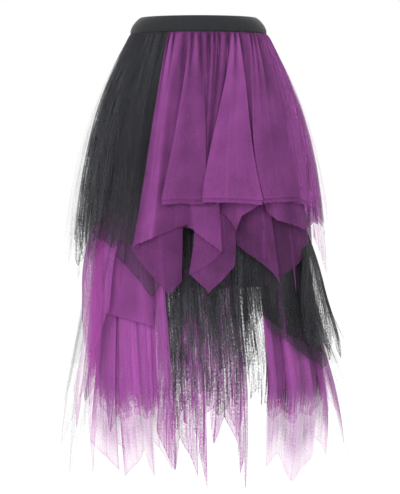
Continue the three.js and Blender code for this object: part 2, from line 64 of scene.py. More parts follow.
# Where each layer hangs: share of the room between the bells, relief of its folds as a share of the
# room, stand-off of its top edge, height of its top edge, and how far down it takes to leave the seam.
PLACES = {
    "upper_under": (0.52, 0.045, 0.8, -15.6, 70),
    "upper_points": (0.62, 0.045, 0.8, -15.6, 70),
    "upper_main": (0.745, 0.07, 2.3, -15.6, 70),
    "upper_over": (0.885, 0.08, 3.8, -15.6, 70),
    "upper_veil": (1.0, 0.05, 4.2, -15.6, 70),
    "upper_veil_right": (1.06, 0.05, 4.4, -15.6, 70),
    "upper_veil_far": (1.12, 0.05, 4.6, -15.6, 80),
    "lower_first": (0.25, 0.09, 1.0, -326, 300),
    "lower_second": (0.45, 0.09, 1.0, -304, 300),
    "lower_third": (0.68, 0.10, 1.0, -290, 300),
    "lower_fourth": (0.90, 0.10, 1.0, -276, 300),
    "lower_wide": (1.05, 0.06, 1.0, -330, 110),
    "lower_veil": (0.9, 0.06, 1.0, -270, 240),
}

# One lengthwise fold line a row: its angle round the skirt at the top edge, half-way down and at the
# hem in degrees, how far it stands out, and how far the hem hangs below the waist in millimetres.
TOP, MIDDLE, FOOT, OUT, DROP = range(5)
# The rows that face the front were worked out outside this script; the others are given one by one.
FOLDS = {
    "purple_outer": [
        (-2.75, -9.5, -11.5, -0.5, 326), (-7, -11, -17.5, 1.1, 324), (-3.25, -4.5, -7.5, 0.3, 323),
        (2, 4.25, 3.5, 0.5, 325), (0.5, 0.75, -2, -0.2, 326), (7.75, 4.5, 3, -0.4, 325),
        (11.75, 5.75, 3.5, 0.4, 324), (16, 7.75, 4.25, -0.6, 325), (20.25, 9.75, 5.25, 0.3, 324),
        (27.5, 13.75, 7.75, -0.5, 325), (27.5, 9.75, 1.25, 1.6, 321), (31.75, 17, 12.25, 2.3, 321),
        (36, 28.25, 30.75, 1.8, 325), (35, 24.5, 25.5, 0, 326), (42.5, 30.25, 31.25, -0.5, 324),
        (47.25, 30.25, 31.25, 1, 322), (55.5, 40.5, 42.75, 0.5, 319), (66.5, 54.25, 55.5, 0.7, 317),
        (60.5, 48.75, 49.25, -0.3, 319), (71.5, 56.5, 56.75, 0.9, 323), (77, 65, 60.25, 1.3, 326),
        (86, 86, 87, 0.2, 335), (98, 99, 100, 1.7, 365), (111, 112, 113, -0.8, 330), (124, 125, 126, 1.6, 340),
        (138, 139, 140, -0.8, 325), (152, 152, 152, 1.8, 350), (166, 166, 166, -0.7, 375),
        (187, 186, 185, 0.5, 345),
    ],
    "purple_main": [
        (-23.5, -23, -28.75, -0.9, 412), (-26, -26.25, -32.5, -0.1, 408), (-23.25, -22.5, -26.75, 0.8, 401),
        (-20, -18.5, -22.5, 1.3, 395), (-17, -16.25, -19.25, -0.4, 389), (-12, -11, -9.75, -0.2, 374),
        (-6.25, -4.5, -3, -0.6, 367), (-6.5, -5, -5.5, -0.9, 374), (-4.5, -4.25, -2.75, 0.2, 378),
        (1.25, 1.75, 4, 0.5, 399), (5.25, 8, 10.5, 0.3, 419), (7.75, 9.25, 10.25, -0.9, 349),
        (12, 11.75, 13.25, -0.5, 353), (20.5, 17, 17.75, -0.2, 378), (26.75, 21, 20.75, 0.3, 353),
        (34.5, 26, 25.5, 0.4, 343), (44.5, 33.25, 33, 0.2, 327), (49.5, 37.25, 35.75, -0.8, 349),
        (56.75, 43.5, 40, 0.2, 361), (63.75, 52, 50.25, -0.5, 368), (68.25, 56, 60, 0.5, 377),
        (72, 76, 76, -0.5, 365), (92, 92, 92, 0.7, 370), (106, 106, 106, -0.6, 335),
    ],
    "purple_points": [
        (-25.25, -26.75, -33.25, 0.2, 414), (-23.5, -23.5, -29.5, 0.5, 434), (-17.25, -14.75, -14.25, 0.5, 496),
        (-13.75, -10.25, -10.25, 0.4, 482), (-12.5, -8.75, -7.75, 0.1, 472), (-11.75, -8.25, -7.75, -0.3, 374),
        (-7, -3.5, -1.25, -0.3, 376), (-6.25, 0, -4.5, 0.3, 457), (0.5, 2.75, 4.75, 0.5, 492),
        (4.5, 6.5, 9, 0.4, 477), (11.25, 13, 17.5, 0.2, 443), (14.75, 15, 18.75, -0.3, 378),
    ],
    "purple_inner": [
        (-6.5, 0.25, -4.5, 0, 454), (-6.25, 0.25, -4.25, 0.1, 459), (-2.75, 2.25, -0.75, 0.3, 452),
        (3.75, 6.25, 7, 0.4, 434), (7, 9, 10.75, 0.2, 421), (9.5, 10.75, 14, -0.4, 399),
    ],
    "points_inner": [
        (-14.75, -14.25, -16.75, 0.1, 396), (-14.25, -13.75, -15.75, 0.2, 419), (-13.25, -11.75, -13, 0.3, 446),
        (-12.5, -10.25, -9.75, 0.2, 468), (-12, -8.75, -7.75, 0, 472), (-11.5, -8.25, -7.75, -0.3, 372),
    ],
    "purple_under": [
        (20, 18.75, 19.75, -0.8, 405), (25.25, 23.75, 25.75, 0.3, 423), (33, 31.75, 38.5, 0.8, 454),
        (39.25, 37.75, 44.25, 1.1, 478), (37.25, 36.5, 44, -0.5, 465), (42.75, 42.25, 49.25, -0.4, 457),
        (47.5, 49.5, 61, 0.5, 436), (56.25, 57, 73.75, 0.9, 399), (66, 68, 72, -0.6, 385),
        (79, 80, 81, 0.8, 395), (92, 93, 94, -0.6, 410), (106, 107, 108, 0.8, 450), (121, 122, 123, -0.8, 370),
        (136, 137, 138, 0.8, 350), (151, 151, 151, -0.8, 400), (165, 165, 165, 0.8, 430),
        (179, 179, 179, 0, 350),
    ],
    "purple_strip": [
        (66.5, 60.25, 57, -0.3, 324), (73.25, 66.25, 59.5, 0.4, 357), (77, 67.25, 62.5, 0.8, 395),
        (79.5, 70.5, 73.25, 0.3, 439), (81.5, 71.25, 78, 0.3, 460), (84.5, 90, 90, -0.2, 395),
        (86, 86, 85, 0.3, 368), (95, 96, 96, 0.8, 350),
    ],
    "veil_left": [
        (-37, -29.75, -30.25, -0.5, 439), (-43.5, -36, -38.25, 0.4, 410), (-48.5, -45, -46.25, -0.5, 392),
        (-52.25, -50.75, -53.75, 0.7, 439), (-56.75, -60.25, -59.75, -0.6, 399),
        (-62, -63.25, -61.75, 0.8, 467), (-65, -80.75, -73.5, -0.2, 377), (-82, -82, -82, 0.9, 425),
        (-90, -90, -90, -0.5, 380), (-100, -100, -100, 0.9, 440), (-112, -112, -113, -0.3, 380),
    ],
    "black_main": [
        (-22, -24, -27, -0.6, 385), (-29.8, -32.5, -36.5, -0.4, 405), (-33.5, -34, -38, 0.6, 396),
        (-39.75, -41.25, -45.25, -0.5, 399), (-45.5, -47.75, -49.25, 0.6, 385),
        (-47.5, -54.5, -56.75, -0.4, 374), (-51.5, -56.25, -57.5, 0.8, 366), (-60, -67.75, -65.25, 0.4, 351),
        (-66, -80.25, -73, -0.6, 346), (-86, -87, -88, 0.4, 345), (-98, -99, -100, -0.8, 400),
        (-110, -111, -112, 1, 430), (-122, -123, -124, -0.8, 350), (-136, -136, -136, 1, 330),
        (-150, -150, -150, -0.8, 360), (-164, -164, -164, 0.9, 415), (-178, -178, -178, 0, 345),
    ],
    "veil_far_left": [
        (-53.5, -58, -57.5, -0.5, 348), (-56.5, -58.5, -60.5, 0.4, 385), (-59.75, -68.25, -72, -0.4, 355),
        (-66, -68, -66, 0.7, 412), (-74, -76, -74, -0.4, 352), (-84, -85, -84, 0.6, 395),
        (-96, -96, -96, -0.4, 350), (-108, -108, -109, 0.5, 420),
    ],
    "left_outer": [
        (-48, -46, -43, -0.5, 470), (-65.75, -58.25, -56.75, 0.5, 563), (-73.25, -70, -74.75, -0.4, 509),
        (-90, -69.75, -61, 0.7, 629), (-70, -69, -66, -0.5, 560), (-76, -75, -72, 0.5, 640),
        (-84, -83, -80, 0.1, 560), (-93, -92, -90, -0.8, 630), (-104, -104, -104, 0.3, 560),
        (-118, -118, -118, -0.8, 620), (-132, -131, -130, 0.7, 560),
    ],
    "left_short": [
        (-30.5, -26.25, -22, -2, 508), (-32.5, -26.25, -22.25, -0.7, 553), (-39.25, -32, -26.75, 0.5, 548),
        (-47.75, -40.75, -36.75, -0.5, 541), (-53.5, -47, -45.75, 0.4, 533), (-57.75, -54.25, -51.75, 1, 528),
        (-59, -56.75, -53, -0.6, 501),
    ],
    "left_long": [
        (-79, -76, -64, 0.3, 650), (-72, -70, -58, 0.8, 700), (-66, -65, -53, -0.4, 640),
        (-60, -59, -59.25, -0.2, 760), (-54.25, -49.5, -45, 0.3, 790), (-50.25, -44.5, -36.25, 1, 812),
        (-49.25, -48.25, -41.5, -0.7, 765), (-48.5, -46.5, -36.5, -0.6, 775), (-47.5, -42.5, -34, 0.9, 823),
        (-42.25, -37.5, -28.75, 0.3, 797), (-37.5, -33.5, -26.75, -0.6, 774), (-33.25, -27.5, -20.25, 1, 821),
        (-32.5, -28.5, -23.25, -0.8, 760), (-28.25, -24.25, -20, -0.5, 770), (-23, -17.75, -13, 0.9, 810),
        (-22.25, -17.25, -13, -0.6, 741),
    ],
    "left_dense": [
        (-76, -73, -62, 0.3, 650), (-67, -66, -56, 1, 640), (-64, -60.75, -53.25, 0.3, 697),
        (-57.5, -53.75, -46, 0.7, 720), (-53.25, -49.5, -43.25, 0.2, 711), (-46.5, -43.5, -37, 0.6, 726),
        (-40, -36.5, -30.75, 0.2, 711), (-34.5, -30, -25.25, 0.7, 722), (-31, -26.75, -22.5, 0.3, 709),
        (-27.5, -24.5, -20.5, -0.5, 695),
    ],
    "left_side": [
        (-46, -44, -42, -0.4, 520), (-52, -49, -46, 0.4, 590), (-82.25, -57.25, -45.5, -0.3, 638),
        (-90, -63.75, -50, 0.5, 602), (-90, -72.5, -56.25, -0.3, 563), (-72, -67, -60, 0.2, 540),
    ],
    "left_spikes": [
        (-90, -61.25, -54.5, -0.3, 667), (-90, -55.5, -49.25, 0.5, 738), (-90, -57.75, -50.25, -0.3, 681),
        (-75.25, -54.5, -47.5, -0.2, 661), (-70.75, -49.25, -42.75, 0.3, 741), (-67.25, -44.75, -40, 0.6, 819),
        (-62.75, -46.75, -40.25, -0.2, 732),
    ],
    "left_diamond": [
        (-55.25, -54.5, -56.75, -0.5, 778), (-44.75, -40.75, -39, 0.3, 815), (-35.25, -30.25, -27, 0.7, 845),
        (-31, -25.25, -24, 0.8, 856), (-26.25, -21.25, -18.5, 0.1, 829), (-21.75, -16, -13.25, -0.3, 804),
        (-18.5, -13, -11.25, -0.6, 741),
    ],
    "left_blades": [
        (-58, -55, -50, -0.4, 640), (-62, -60, -55.5, 0.5, 750), (-66, -63, -57, -0.4, 680),
        (-71, -69, -63, 0.4, 835), (-74, -73, -66, -0.5, 700), (-80, -80, -75, 0.6, 770),
        (-86, -86, -82, -0.4, 650), (-94, -94, -92, 0.5, 720), (-104, -104, -104, -0.5, 600),
    ],
    "centre_long": [
        (-26, -24.5, -26.75, -0.6, 744), (-22.75, -20.25, -19.5, 0.4, 783), (-20.25, -17.25, -15.5, 0.8, 813),
        (-17.75, -14.5, -14, -0.7, 754), (-14, -10.5, -8.75, 0.1, 782), (-9.75, -6, -3.5, 0.9, 823),
        (-8.5, -4.75, -5.25, -0.7, 743), (-6.25, -2.75, -3.25, -0.2, 772), (-2.75, -0.5, 0.5, 1, 856),
        (-1.5, 1.75, 0.75, -0.5, 696), (5.75, 7.25, 2, 0.2, 698), (6.75, 7.25, 3.75, 0.8, 766),
        (9.25, 10.75, 9.75, -0.6, 716), (15.25, 16.75, 16, 0.2, 761), (16.5, 18, 17, 0.7, 819),
        (18.25, 20.75, 19, -0.2, 788), (19.5, 20.25, 19.5, 0.9, 846), (21, 24, 23, -0.4, 675),
    ],
    "centre_dense": [
        (-24.75, -22.5, -25, -0.6, 722), (-19.5, -16.25, -16, 0.9, 761), (-14.75, -11.5, -11.75, -0.8, 725),
        (-8.5, -4.75, -5, 0.6, 750), (-5, -2, -2.5, 0.9, 800), (-1.5, 1.75, 0.25, -0.7, 711),
        (8, 9.5, 7.25, 0.4, 689), (14, 16, 14.25, -0.5, 711), (17.75, 19.75, 17, 0.8, 779),
        (21, 24, 23, -0.4, 675),
    ],
    "centre_black_a": [
        (-32.25, -29.5, -29.75, -0.6, 656), (-28.25, -23.75, -22.75, 0.9, 692),
        (-23.5, -19.25, -19.75, -0.9, 674), (-18.5, -14.25, -13.25, 0.9, 738), (-13.5, -9.75, -9.5, -0.8, 685),
        (-7.5, -3.5, -3, 0.9, 663), (-2.75, 2, 3, -0.8, 674), (4.5, 7, 6, 0.9, 716), (10.5, 13, 12, -0.8, 681),
        (16.5, 18.5, 16.25, 0.9, 695), (21.5, 25.5, 25.75, -0.4, 599),
    ],
    "centre_veil": [
        (18.5, 22, 19.75, -0.3, 602), (21, 24.75, 20.5, 0.4, 684), (23, 26.75, 24.25, -0.2, 663),
        (25, 28.5, 25, 0.4, 695), (26.25, 32, 33.25, -0.3, 577),
    ],
    "centre_black_b": [
        (-30.25, -27.5, -27, 0.4, 602), (-25.5, -22.25, -22, -0.6, 649), (-19.75, -16.75, -16, 0.8, 598),
        (-14.75, -11.75, -12.25, -0.7, 674), (-9.25, -6.25, -5.75, 0.8, 587), (-3.25, -0.75, -1, -0.9, 620),
        (3.25, 5.25, 5.5, 0.8, 580), (8.75, 10.75, 9.75, -0.8, 638), (14, 16.25, 16.25, 0.8, 589),
        (19.75, 22.25, 21.25, -0.7, 624), (24.25, 26.75, 26.75, 0.6, 622), (25.5, 28, 30.25, -0.3, 564),
    ],
    "centre_black_c": [
        (-28.75, -27, -25.5, -0.4, 541), (-24.25, -21.5, -20.75, 0.8, 577), (-19, -17.25, -16, -0.7, 533),
        (-13.5, -11.25, -10.75, 0.7, 573), (-7.5, -6, -5, -0.8, 526), (-1.5, -0.25, 0.5, 0.6, 555),
        (5, 5.75, 5.75, -0.7, 577), (10.5, 11.25, 11.75, 0.8, 555), (16.5, 17.25, 16.75, -0.7, 580),
        (22.25, 23, 22.75, 0.7, 548), (25.5, 26.75, 27.25, -0.4, 566),
    ],
    "right_long": [
        (36.75, 33.75, 26, -0.4, 738), (38.25, 32.5, 24.75, 0.8, 807), (42.25, 38.25, 30.5, -0.2, 782),
        (46.5, 42.25, 33.5, -0.6, 793), (52.25, 44.75, 35.5, 0.9, 832), (58.75, 54.25, 44.25, 0.2, 805),
        (62.5, 59, 48.25, 0.7, 789), (65.5, 68.5, 54.75, -0.7, 756), (68.75, 72.75, 57, -0.3, 767),
        (72.5, 73, 57.75, 0.8, 788), (66, 67, 64, -0.6, 660), (74, 75, 74, 0.8, 710), (82, 84, 84, -0.5, 690),
        (92, 93, 94, 0.8, 780), (102, 102, 102, -0.5, 660), (112, 112, 112, 0.7, 720),
        (122, 122, 122, -0.5, 610),
    ],
    "right_dense": [
        (36.75, 34.25, 25.25, 0.6, 706), (42.25, 39, 29.5, 0.8, 722), (46.5, 44.75, 35.5, 0.1, 708),
        (48.5, 46.75, 37, -0.4, 712), (52.25, 50, 38.75, 0.4, 730), (58.75, 59.75, 46.25, 0, 709),
        (65.5, 68.25, 50.75, 0.4, 717), (72.5, 90, 61.5, -0.2, 695), (67, 68, 66, -0.6, 640),
        (76, 77, 77, 1, 600), (84, 86, 88, 0.6, 640), (96, 97, 98, -0.8, 560), (109, 109, 109, 0.9, 600),
        (122, 122, 122, -0.5, 560),
    ],
    "right_black": [
        (23, 21.5, 20.25, -1.2, 544), (27.75, 26.25, 23, -0.4, 573), (33.25, 32.25, 31.75, 0.7, 528),
        (38.5, 37.5, 34.75, -0.4, 558), (46.75, 48.25, 43.5, 0.9, 589), (57.75, 65, 56.25, -0.7, 612),
        (64.25, 77, 59.75, 0.8, 630), (67.5, 90, 90, -0.4, 606), (76, 79, 78, 1.6, 640), (86, 87, 88, 0.2, 560),
        (98, 99, 100, 1, 520), (110, 111, 112, -0.6, 600),
    ],
    "right_side": [
        (78.25, 58.5, 47, -0.4, 577), (90, 62.75, 48, 0.5, 598), (90, 74.25, 58.5, -0.4, 581),
        (90, 76.75, 57.75, 0.5, 603), (90, 90, 69.5, -0.3, 571), (90, 90, 64.5, 0.7, 612),
        (90, 90, 71.25, -0.4, 591), (84, 85, 84, -0.3, 520), (90, 90, 90, 0.6, 580), (98, 98, 98, -0.4, 500),
        (107, 107, 107, 0.5, 560),
    ],
    "right_black_in": [
        (25.75, 23.75, 22.75, -0.8, 540), (30.5, 29.5, 29.5, 0.2, 522), (38.5, 38.5, 38, -0.6, 548),
        (48.5, 50.5, 47, 0.7, 570), (57.75, 64.5, 60.5, -0.6, 591), (65.75, 80.25, 69.5, 0.8, 604),
        (70, 73, 73, -0.5, 560), (80, 82, 82, 0.9, 600), (92, 93, 94, -0.4, 520), (104, 105, 106, 0.8, 560),
    ],
    "veil_right": [
        (56, 58, 60, -0.5, 600), (62, 66, 70, 0.4, 690), (68, 72, 76, -0.4, 600), (74, 79, 84, 0.6, 642),
        (80, 84, 87, -0.5, 520), (88, 90, 92, 0.6, 600), (98, 98, 98, -0.4, 520),
    ],
    "veil_right_low": [
        (40, 44, 46, -0.5, 700), (48, 54, 60, 0.3, 760), (56, 62, 70, -0.3, 815), (64, 70, 78, 0.5, 730),
        (72, 78, 86, -0.4, 780), (84, 88, 92, 0.5, 700), (98, 98, 98, -0.4, 640),
    ],
    "veil_upper_right": [
        (53.75, 55.75, 52.75, -0.5, 319), (65.75, 67.5, 61.25, 0.4, 333), (73.75, 90, 90, 0.8, 314),
        (80, 84, 84, -0.4, 370), (92, 94, 94, 0.6, 330),
    ],
    "upper_black_under": [
        (-29.5, -29, -19, -0.5, 480), (-32, -31, -23, 0.1, 500), (-34.5, -33, -30.5, 0.4, 470),
        (-37, -36.5, -40.5, -0.8, 440), (-44, -45, -48.5, 0.8, 415), (-51.5, -56.5, -61.5, -0.6, 395),
        (-61.5, -69, -72, 0.8, 375), (-74, -75, -74, -0.6, 350), (-90, -90, -90, 0.8, 400),
        (-106, -107, -108, -0.7, 440), (-122, -123, -124, 0.8, 360),
    ],
    "upper_black_over": [
        (-47.5, -47, -50.5, -0.3, 375), (-52.5, -53.5, -54, 0.7, 400), (-57, -62.5, -63.5, -0.6, 440),
        (-64.5, -74.5, -71, 0.8, 400), (-76, -76, -75, 0.9, 385), (-92, -93, -94, -0.5, 400),
        (-106, -108, -110, 0.9, 445), (-121, -123, -124, -0.7, 380), (-135, -137, -138, 0.6, 350),
    ],
    "lower_back_purple": [
        (126, 126.5, 127, 0.5, 560), (132, 132, 133, 0.9, 640), (138, 138, 139, -0.9, 560),
        (148, 147, 146, 0.3, 470), (158, 159, 160, 0.9, 520), (170, 171, 172, -0.9, 640),
        (180, 180, 181, 0.9, 690), (191, 191, 192, -0.9, 650),
    ],
    "lower_back_black": [
        (-165, -164, -163, 0.3, 640), (-155, -154, -153, 0.9, 730), (-144, -144, -143, -0.9, 680),
        (-133, -134, -133, 0.9, 760), (-122, -123, -123, -0.9, 640), (-112, -112, -112, 0.9, 700),
        (-100, -100, -101, -0.4, 600),
    ],
}

# Every ply of net: the solid it stands for, its place, cloth and folds, how far it stands off its
# place and how much shorter it is cut in millimetres, the share of light it stops, how much of that
# is gone at its hem and how far the rest melts away there, how streaky it is, its painted tone (painted
# light above its cloth's colour, or painted shade below it where negative), how roundly its folds turn,
# and the depth of its ruffles and gathers in millimetres.
PLY_KEYS = (
    "node", "place", "cloth", "folds", "stand", "cut", "cover", "fade", "melt", "streak", "painted_tone", "corner",
    "ruffle", "gather",
)
PLIES = [
    ("upper_black_under", "upper_under", "black", "upper_black_under", 0, 0, 0.62, 0.45, 0, 0.3, -0.2, 0.3, 1, 2),
    ("upper_black_main", "upper_main", "black", "black_main", -7, 0, 0.85, 0.7, 0, 0.3, -0.15, 0.3, 1, 2.5),
    ("upper_black_main", "upper_main", "black", "black_main", -10, 50, 0.85, 0.6, 0, 0.3, -0.15, 0.3, 1, 2.5),
    ("upper_black_over", "upper_over", "black", "upper_black_over", 0, 0, 0.42, 0.4, 0, 1.3, 0, 0.2, 2, 2),
    ("upper_black_over", "upper_over", "black", "upper_black_over", -4, 30, 0.42, 0.4, 0, 1.3, 0, 0.2, 2, 2),
    ("upper_black_over", "upper_veil", "black", "veil_left", 0, 0, 0.05, 0.2, 0, 1.2, 0, 0.2, 2, 2),
    ("upper_black_over", "upper_veil_far", "black", "veil_far_left", 0, 0, 0.03, 0, 0, 1, 0, 0.2, 1, 1),
    ("upper_purple_under", "upper_under", "purple", "purple_under", 0, 0, 0.66, 0.05, 0, 0.1, -0.54, 0.15, 0, 2),
    ("upper_purple_points", "upper_points", "purple", "purple_points", 0, 0, 0.7, 0, 0, 0.1, -0.42, 0.05, 0, 2),
    ("upper_purple_long", "upper_main", "purple", "purple_main", 0, 0, 0.75, 0.05, 0, 0.1, -0.2, 0.15, 0, 5),
    ("upper_purple_long", "upper_main", "purple", "purple_main", -2, 4, 0.62, 0.05, 0, 0.1, -0.25, 0.15, 0, 5),
    ("upper_purple_long", "upper_main", "purple", "purple_inner", -5, 0, 0.57, 0, 0, 0.1, -0.3, 0.05, 0, 5),
    ("upper_purple_points", "upper_points", "purple", "points_inner", -3, 0, 0.57, 0, 0, 0.1, -0.55, 0.05, 0, 2),
    ("upper_purple_short", "upper_over", "purple", "purple_outer", 0, 0, 0.62, 0, 0, 0.1, -0.26, 0.18, 0, 7),
    ("upper_purple_short", "upper_over", "purple", "purple_outer", -2.5, -8, 0.62, 0, 0, 0.1, -0.3, 0.18, 0, 7),
    ("upper_purple_short", "upper_over", "purple", "purple_strip", 3, 0, 0.3, 0.3, 0, 1.0, 0.15, 0.3, 1, 2),
    ("upper_purple_short", "upper_veil_right", "purple", "veil_upper_right", 0, 0, 0.06, 0.1, 0, 1, 0, 0.3, 1, 2),
    ("lower_black_left", "lower_fourth", "black", "left_outer", 4, 0, 0.07, 0.2, 0, 0.8, 0, 0.25, 3, 0),
    ("lower_black_left", "lower_fourth", "black", "left_blades", 0, 0, 0.1, 0, 0, 0.4, 0, 0.15, 0.5, 0),
    ("lower_purple_left_short", "lower_fourth", "purple", "left_short", 0, 0, 0.8, 0.1, 0, 0.15, 0.15, 0.15, 0, 0),
    ("lower_purple_left_short", "lower_fourth", "purple", "left_short", -3, 14, 0.7, 0.1, 0, 0.15, 0.1, 0.2, 1, 0),
    ("lower_purple_left_long", "lower_third", "purple", "left_long", 3, 0, 0.84, 0.46, 0.6, 0.25, 0.3, 0.12, 1, 0),
    ("lower_purple_left_long", "lower_third", "purple", "left_dense", 0, 0, 0.88, 0.05, 0.6, 0.7, 0.3, 0.2, 3, 0),
    ("lower_purple_left_long", "lower_third", "purple", "left_dense", -5, 16, 0.88, 0.05, 0.5, 0.7, 0.25, 0.2, 4, 0),
    ("lower_purple_left_long", "lower_wide", "purple", "left_side", 0, 0, 0.6, 0.1, 0.4, 0.6, 0.35, 0.15, 1, 0),
    ("lower_purple_left_long", "lower_wide", "purple", "left_spikes", 0, 0, 0.2, 0, 0, 0.3, 0.2, 0.1, 1, 0),
    ("lower_purple_left_long", "lower_third", "black", "left_diamond", -9, 0, 0.03, 0, 0, 0.3, 0, 0.15, 1, 0),
    ("lower_purple_centre", "lower_first", "purple", "centre_long", 3, 0, 0.68, 0.4, 0, 0.5, 0.15, 0.12, 1, 0),
    ("lower_purple_centre", "lower_first", "purple", "centre_dense", 0, 0, 0.72, 0.3, 0.5, 0.9, 0.2, 0.2, 4, 0),
    ("lower_black_centre", "lower_second", "black", "centre_black_a", 0, 0, 0.36, 0.5, 0.2, 2.0, 0, 0.15, 4, 0),
    ("lower_black_centre", "lower_second", "black", "centre_black_b", 4, 0, 0.5, 0.5, 0.3, 2.0, 0, 0.15, 4, 0),
    ("lower_black_centre", "lower_second", "black", "centre_black_c", 8, 0, 0.78, 0.6, 0.4, 1.8, -0.1, 0.2, 4, 0),
    ("lower_purple_right", "lower_third", "purple", "right_long", 3, 0, 0.88, 0.4, 0.6, 0.25, 0.2, 0.12, 1, 0),
    ("lower_purple_right", "lower_third", "purple", "right_dense", 0, 0, 0.88, 0.05, 0.6, 0.7, -0.46, 0.2, 3, 0),
    ("lower_purple_right", "lower_third", "purple", "right_dense", -5, 16, 0.88, 0.05, 0.5, 0.7, -0.5, 0.2, 4, 0),
    ("lower_black_centre", "lower_third", "black", "centre_veil", 0, 0, 0.3, 0.1, 0, 0.8, 0, 0.15, 1, 0),
    ("lower_black_right", "lower_fourth", "black", "right_black", 0, 0, 0.9, 0.35, 0.2, 0.9, -0.5, 0.2, 3, 0),
    ("lower_black_right", "lower_fourth", "black", "right_black_in", -4, 0, 0.9, 0.25, 0.2, 0.9, -0.5, 0.2, 3, 0),
    ("lower_black_right", "lower_wide", "black", "right_side", 0, 0, 0.95, 0.5, 0.3, 1.0, -0.45, 0.15, 1, 0),
    ("lower_black_right", "lower_veil", "black", "veil_right", 0, 0, 0.05, 0.2, 0, 0.8, 0, 0.2, 1, 0),
    ("lower_black_right", "lower_veil", "black", "veil_right_low", 0, 0, 0.05, 0, 0, 0.4, 0, 0.15, 0.5, 0),
    ("lower_back_purple", "lower_third", "purple", "lower_back_purple", 0, 0, 0.6, 0.3, 0.3, 0.4, 0.1, 0.3, 4, 0),
    ("lower_back_black", "lower_third", "black", "lower_back_black", 0, 0, 0.5, 0.3, 0.3, 0.6, 0, 0.3, 4, 0),
]

# Columns of a ply from one fold line to the next, closer together near the lines. Its rows crowd towards
# the seam by a power, and the last but one lies just above the hem.
COLUMN_STEPS = np.array([0, 0.06, 0.13, 0.22, 0.35, 0.5, 0.65, 0.78, 0.87, 0.94])
ROW_CROWDING = 1.15
LAST_BUT_ONE = 0.99
# How deep a hem is frayed in millimetres, and how many times between two folds.
FRAY = {"depth": 1.2, "times": 4.0}
# Gathers under a seam: their pitch along the waist and how uneven it is, how roundly they puff and how
# far that sinks in, then how far down they take to start and to die away. Millimetres.
GATHER = {"pitch": 14.0, "uneven": 0.5, "round": 0.7, "sink": 0.6, "start": 6, "last": 75, "bend": 1.4}
# Ruffles down a panel: waves from fold to fold and how far they wander, their depth in and out for one
# sideways, how soon they are full, the cloth's slack in degrees and its soft creases in millimetres.
RUFFLE = {"waves": 0.55, "wander": 0.35, "out": 0.8, "soon": 2.2, "slack": 0.35, "crease": 1.2}
# The plies of one panel stand apart in full where the bells are this far apart, in millimetres.
FULL_ROOM = 45
# Turned edges: their half width as a share of a fold, how strong a hem's is, how much closer the net lies
# in them, and the cover below which that shows.
EDGE = {"width": 0.05, "hem": 0.6, "close": 9, "thin": 0.56}
# Painted light and shade: how much folds, turned edges, gathers and ruffles lighten the cloth with painted
# highlights and darken it with painted shade, how much painted shade sits under the gathers and under a seam, and
# how far down the painted shade under a seam lasts in millimetres.
PAINTED_LIGHT_AND_SHADE = {"fold": 0.3, "edge": 0.16, "gather": 1.4, "gather_painted_shade": 0.15, "ruffle": 0.15, "seam": 0.2, "seam_shade_last": 45}
# Where along a ply it starts to melt away, and over how much of its length.
MELT = {"from": 0.88, "over": 0.1}

# Marks in the net: the noise's scale, detail and stretch across and down the cloth, and its strength.
MARKS = {
    "broad": (1.0, 2.0, (80, 2.5, 1), 1.2),
    "fine": (1.0, 3.0, (330, 16, 1), 3.0),
    "speck": (260, 2.0, None, 1.8),
    "blotch": (16, 3.0, None, 0.7),
}
# The net's cells to a metre, how uneven they are, how much its threads stop, and the cover below which
# a painted glow, standing for light that comes through, tints the net.
NET = {"cells": 560, "uneven": 0.35, "threads": 0.05, "painted_glow": 0.6}
# How dark the painted shade in the valleys of each cloth is, as a share of its colour.
PAINTED_VALLEY_SHADE = {"purple": 0.26, "black": 0.45}

# The band's section: how square it is, its gap to the slip, its bulge, and the size and number of the
# puckers over its seam. Millimetres.
BAND = {"square": 0.42, "gap": 0.3, "bulge": 0.5, "pucker": 0.35, "puckers": 61}
# The slip: its tuck under the band, its gap inside its solid, and how far down it is smooth, then the
# depth and number of its soft folds. Millimetres.
SLIP = {"tuck": 7, "gap": 0.6, "smooth": 60, "fold": 4.0, "folds": 24}

# Stage, in metres: floor, lamps as (place, size, watts) aimed at one height, and the camera: its height of
# view at the skirt, its distance and its sensor in millimetres.
FLOOR = {"radius": 12, "z": -1.02}
LAMPS = {"key": ((-1.4, -3.6, 1.5), 1.2, 70), "fill": ((2.6, -3.0, 0.2), 2.0, 10)}
LAMP_AIM = -0.4
CAMERA = {"x": 0.0028, "z": -0.4088, "away": 6.5, "view": 0.9139, "sensor": 24}


class SkirtSizes(PropertyGroup):
    """Sizes that change how the cloth is cut and how it hangs."""

    band_height: FloatProperty(
        name="Band height", description="Height of the elastic waistband", default=0.030, unit="LENGTH"
    )
    band_wall: FloatProperty(
        name="Band thickness", description="Thickness of the elastic waistband", default=0.0036, unit="LENGTH"
    )
    slip_length: FloatProperty(
        name="Slip length", description="From the waist to the lining's hem", default=0.482, unit="LENGTH"
    )
    rows: IntProperty(name="Rows", description="Mesh rows from a panel's top edge to its hem", default=44, min=8)


def cloth_colour(name, description, default):
    """A colour that the user can change."""
    return FloatVectorProperty(name=name, description=description, default=default, subtype="COLOR")


class SkirtColours(PropertyGroup):
    """Colours of the cloths."""

    purple: cloth_colour("Purple net", "Colour of the purple net", (0.335, 0.078, 0.325))
    # The colour of a painted glow on thin purple net, painted light that stands for light through one layer.
    thin: cloth_colour("Thin purple net", "Colour of one layer of purple net", (0.52, 0.06, 0.43))
    black: cloth_colour("Black net", "Colour of the black net", (0.040, 0.041, 0.048))
    slip: cloth_colour("Slip", "Colour of the knit lining", (0.004, 0.004, 0.005))
    band: cloth_colour("Band", "Colour of the elastic", (0.017, 0.0195, 0.0215))
    floor: cloth_colour("Floor", "Colour of the studio floor", (0.05, 0.05, 0.05))


# ---------------------------------------------------------------- shapes

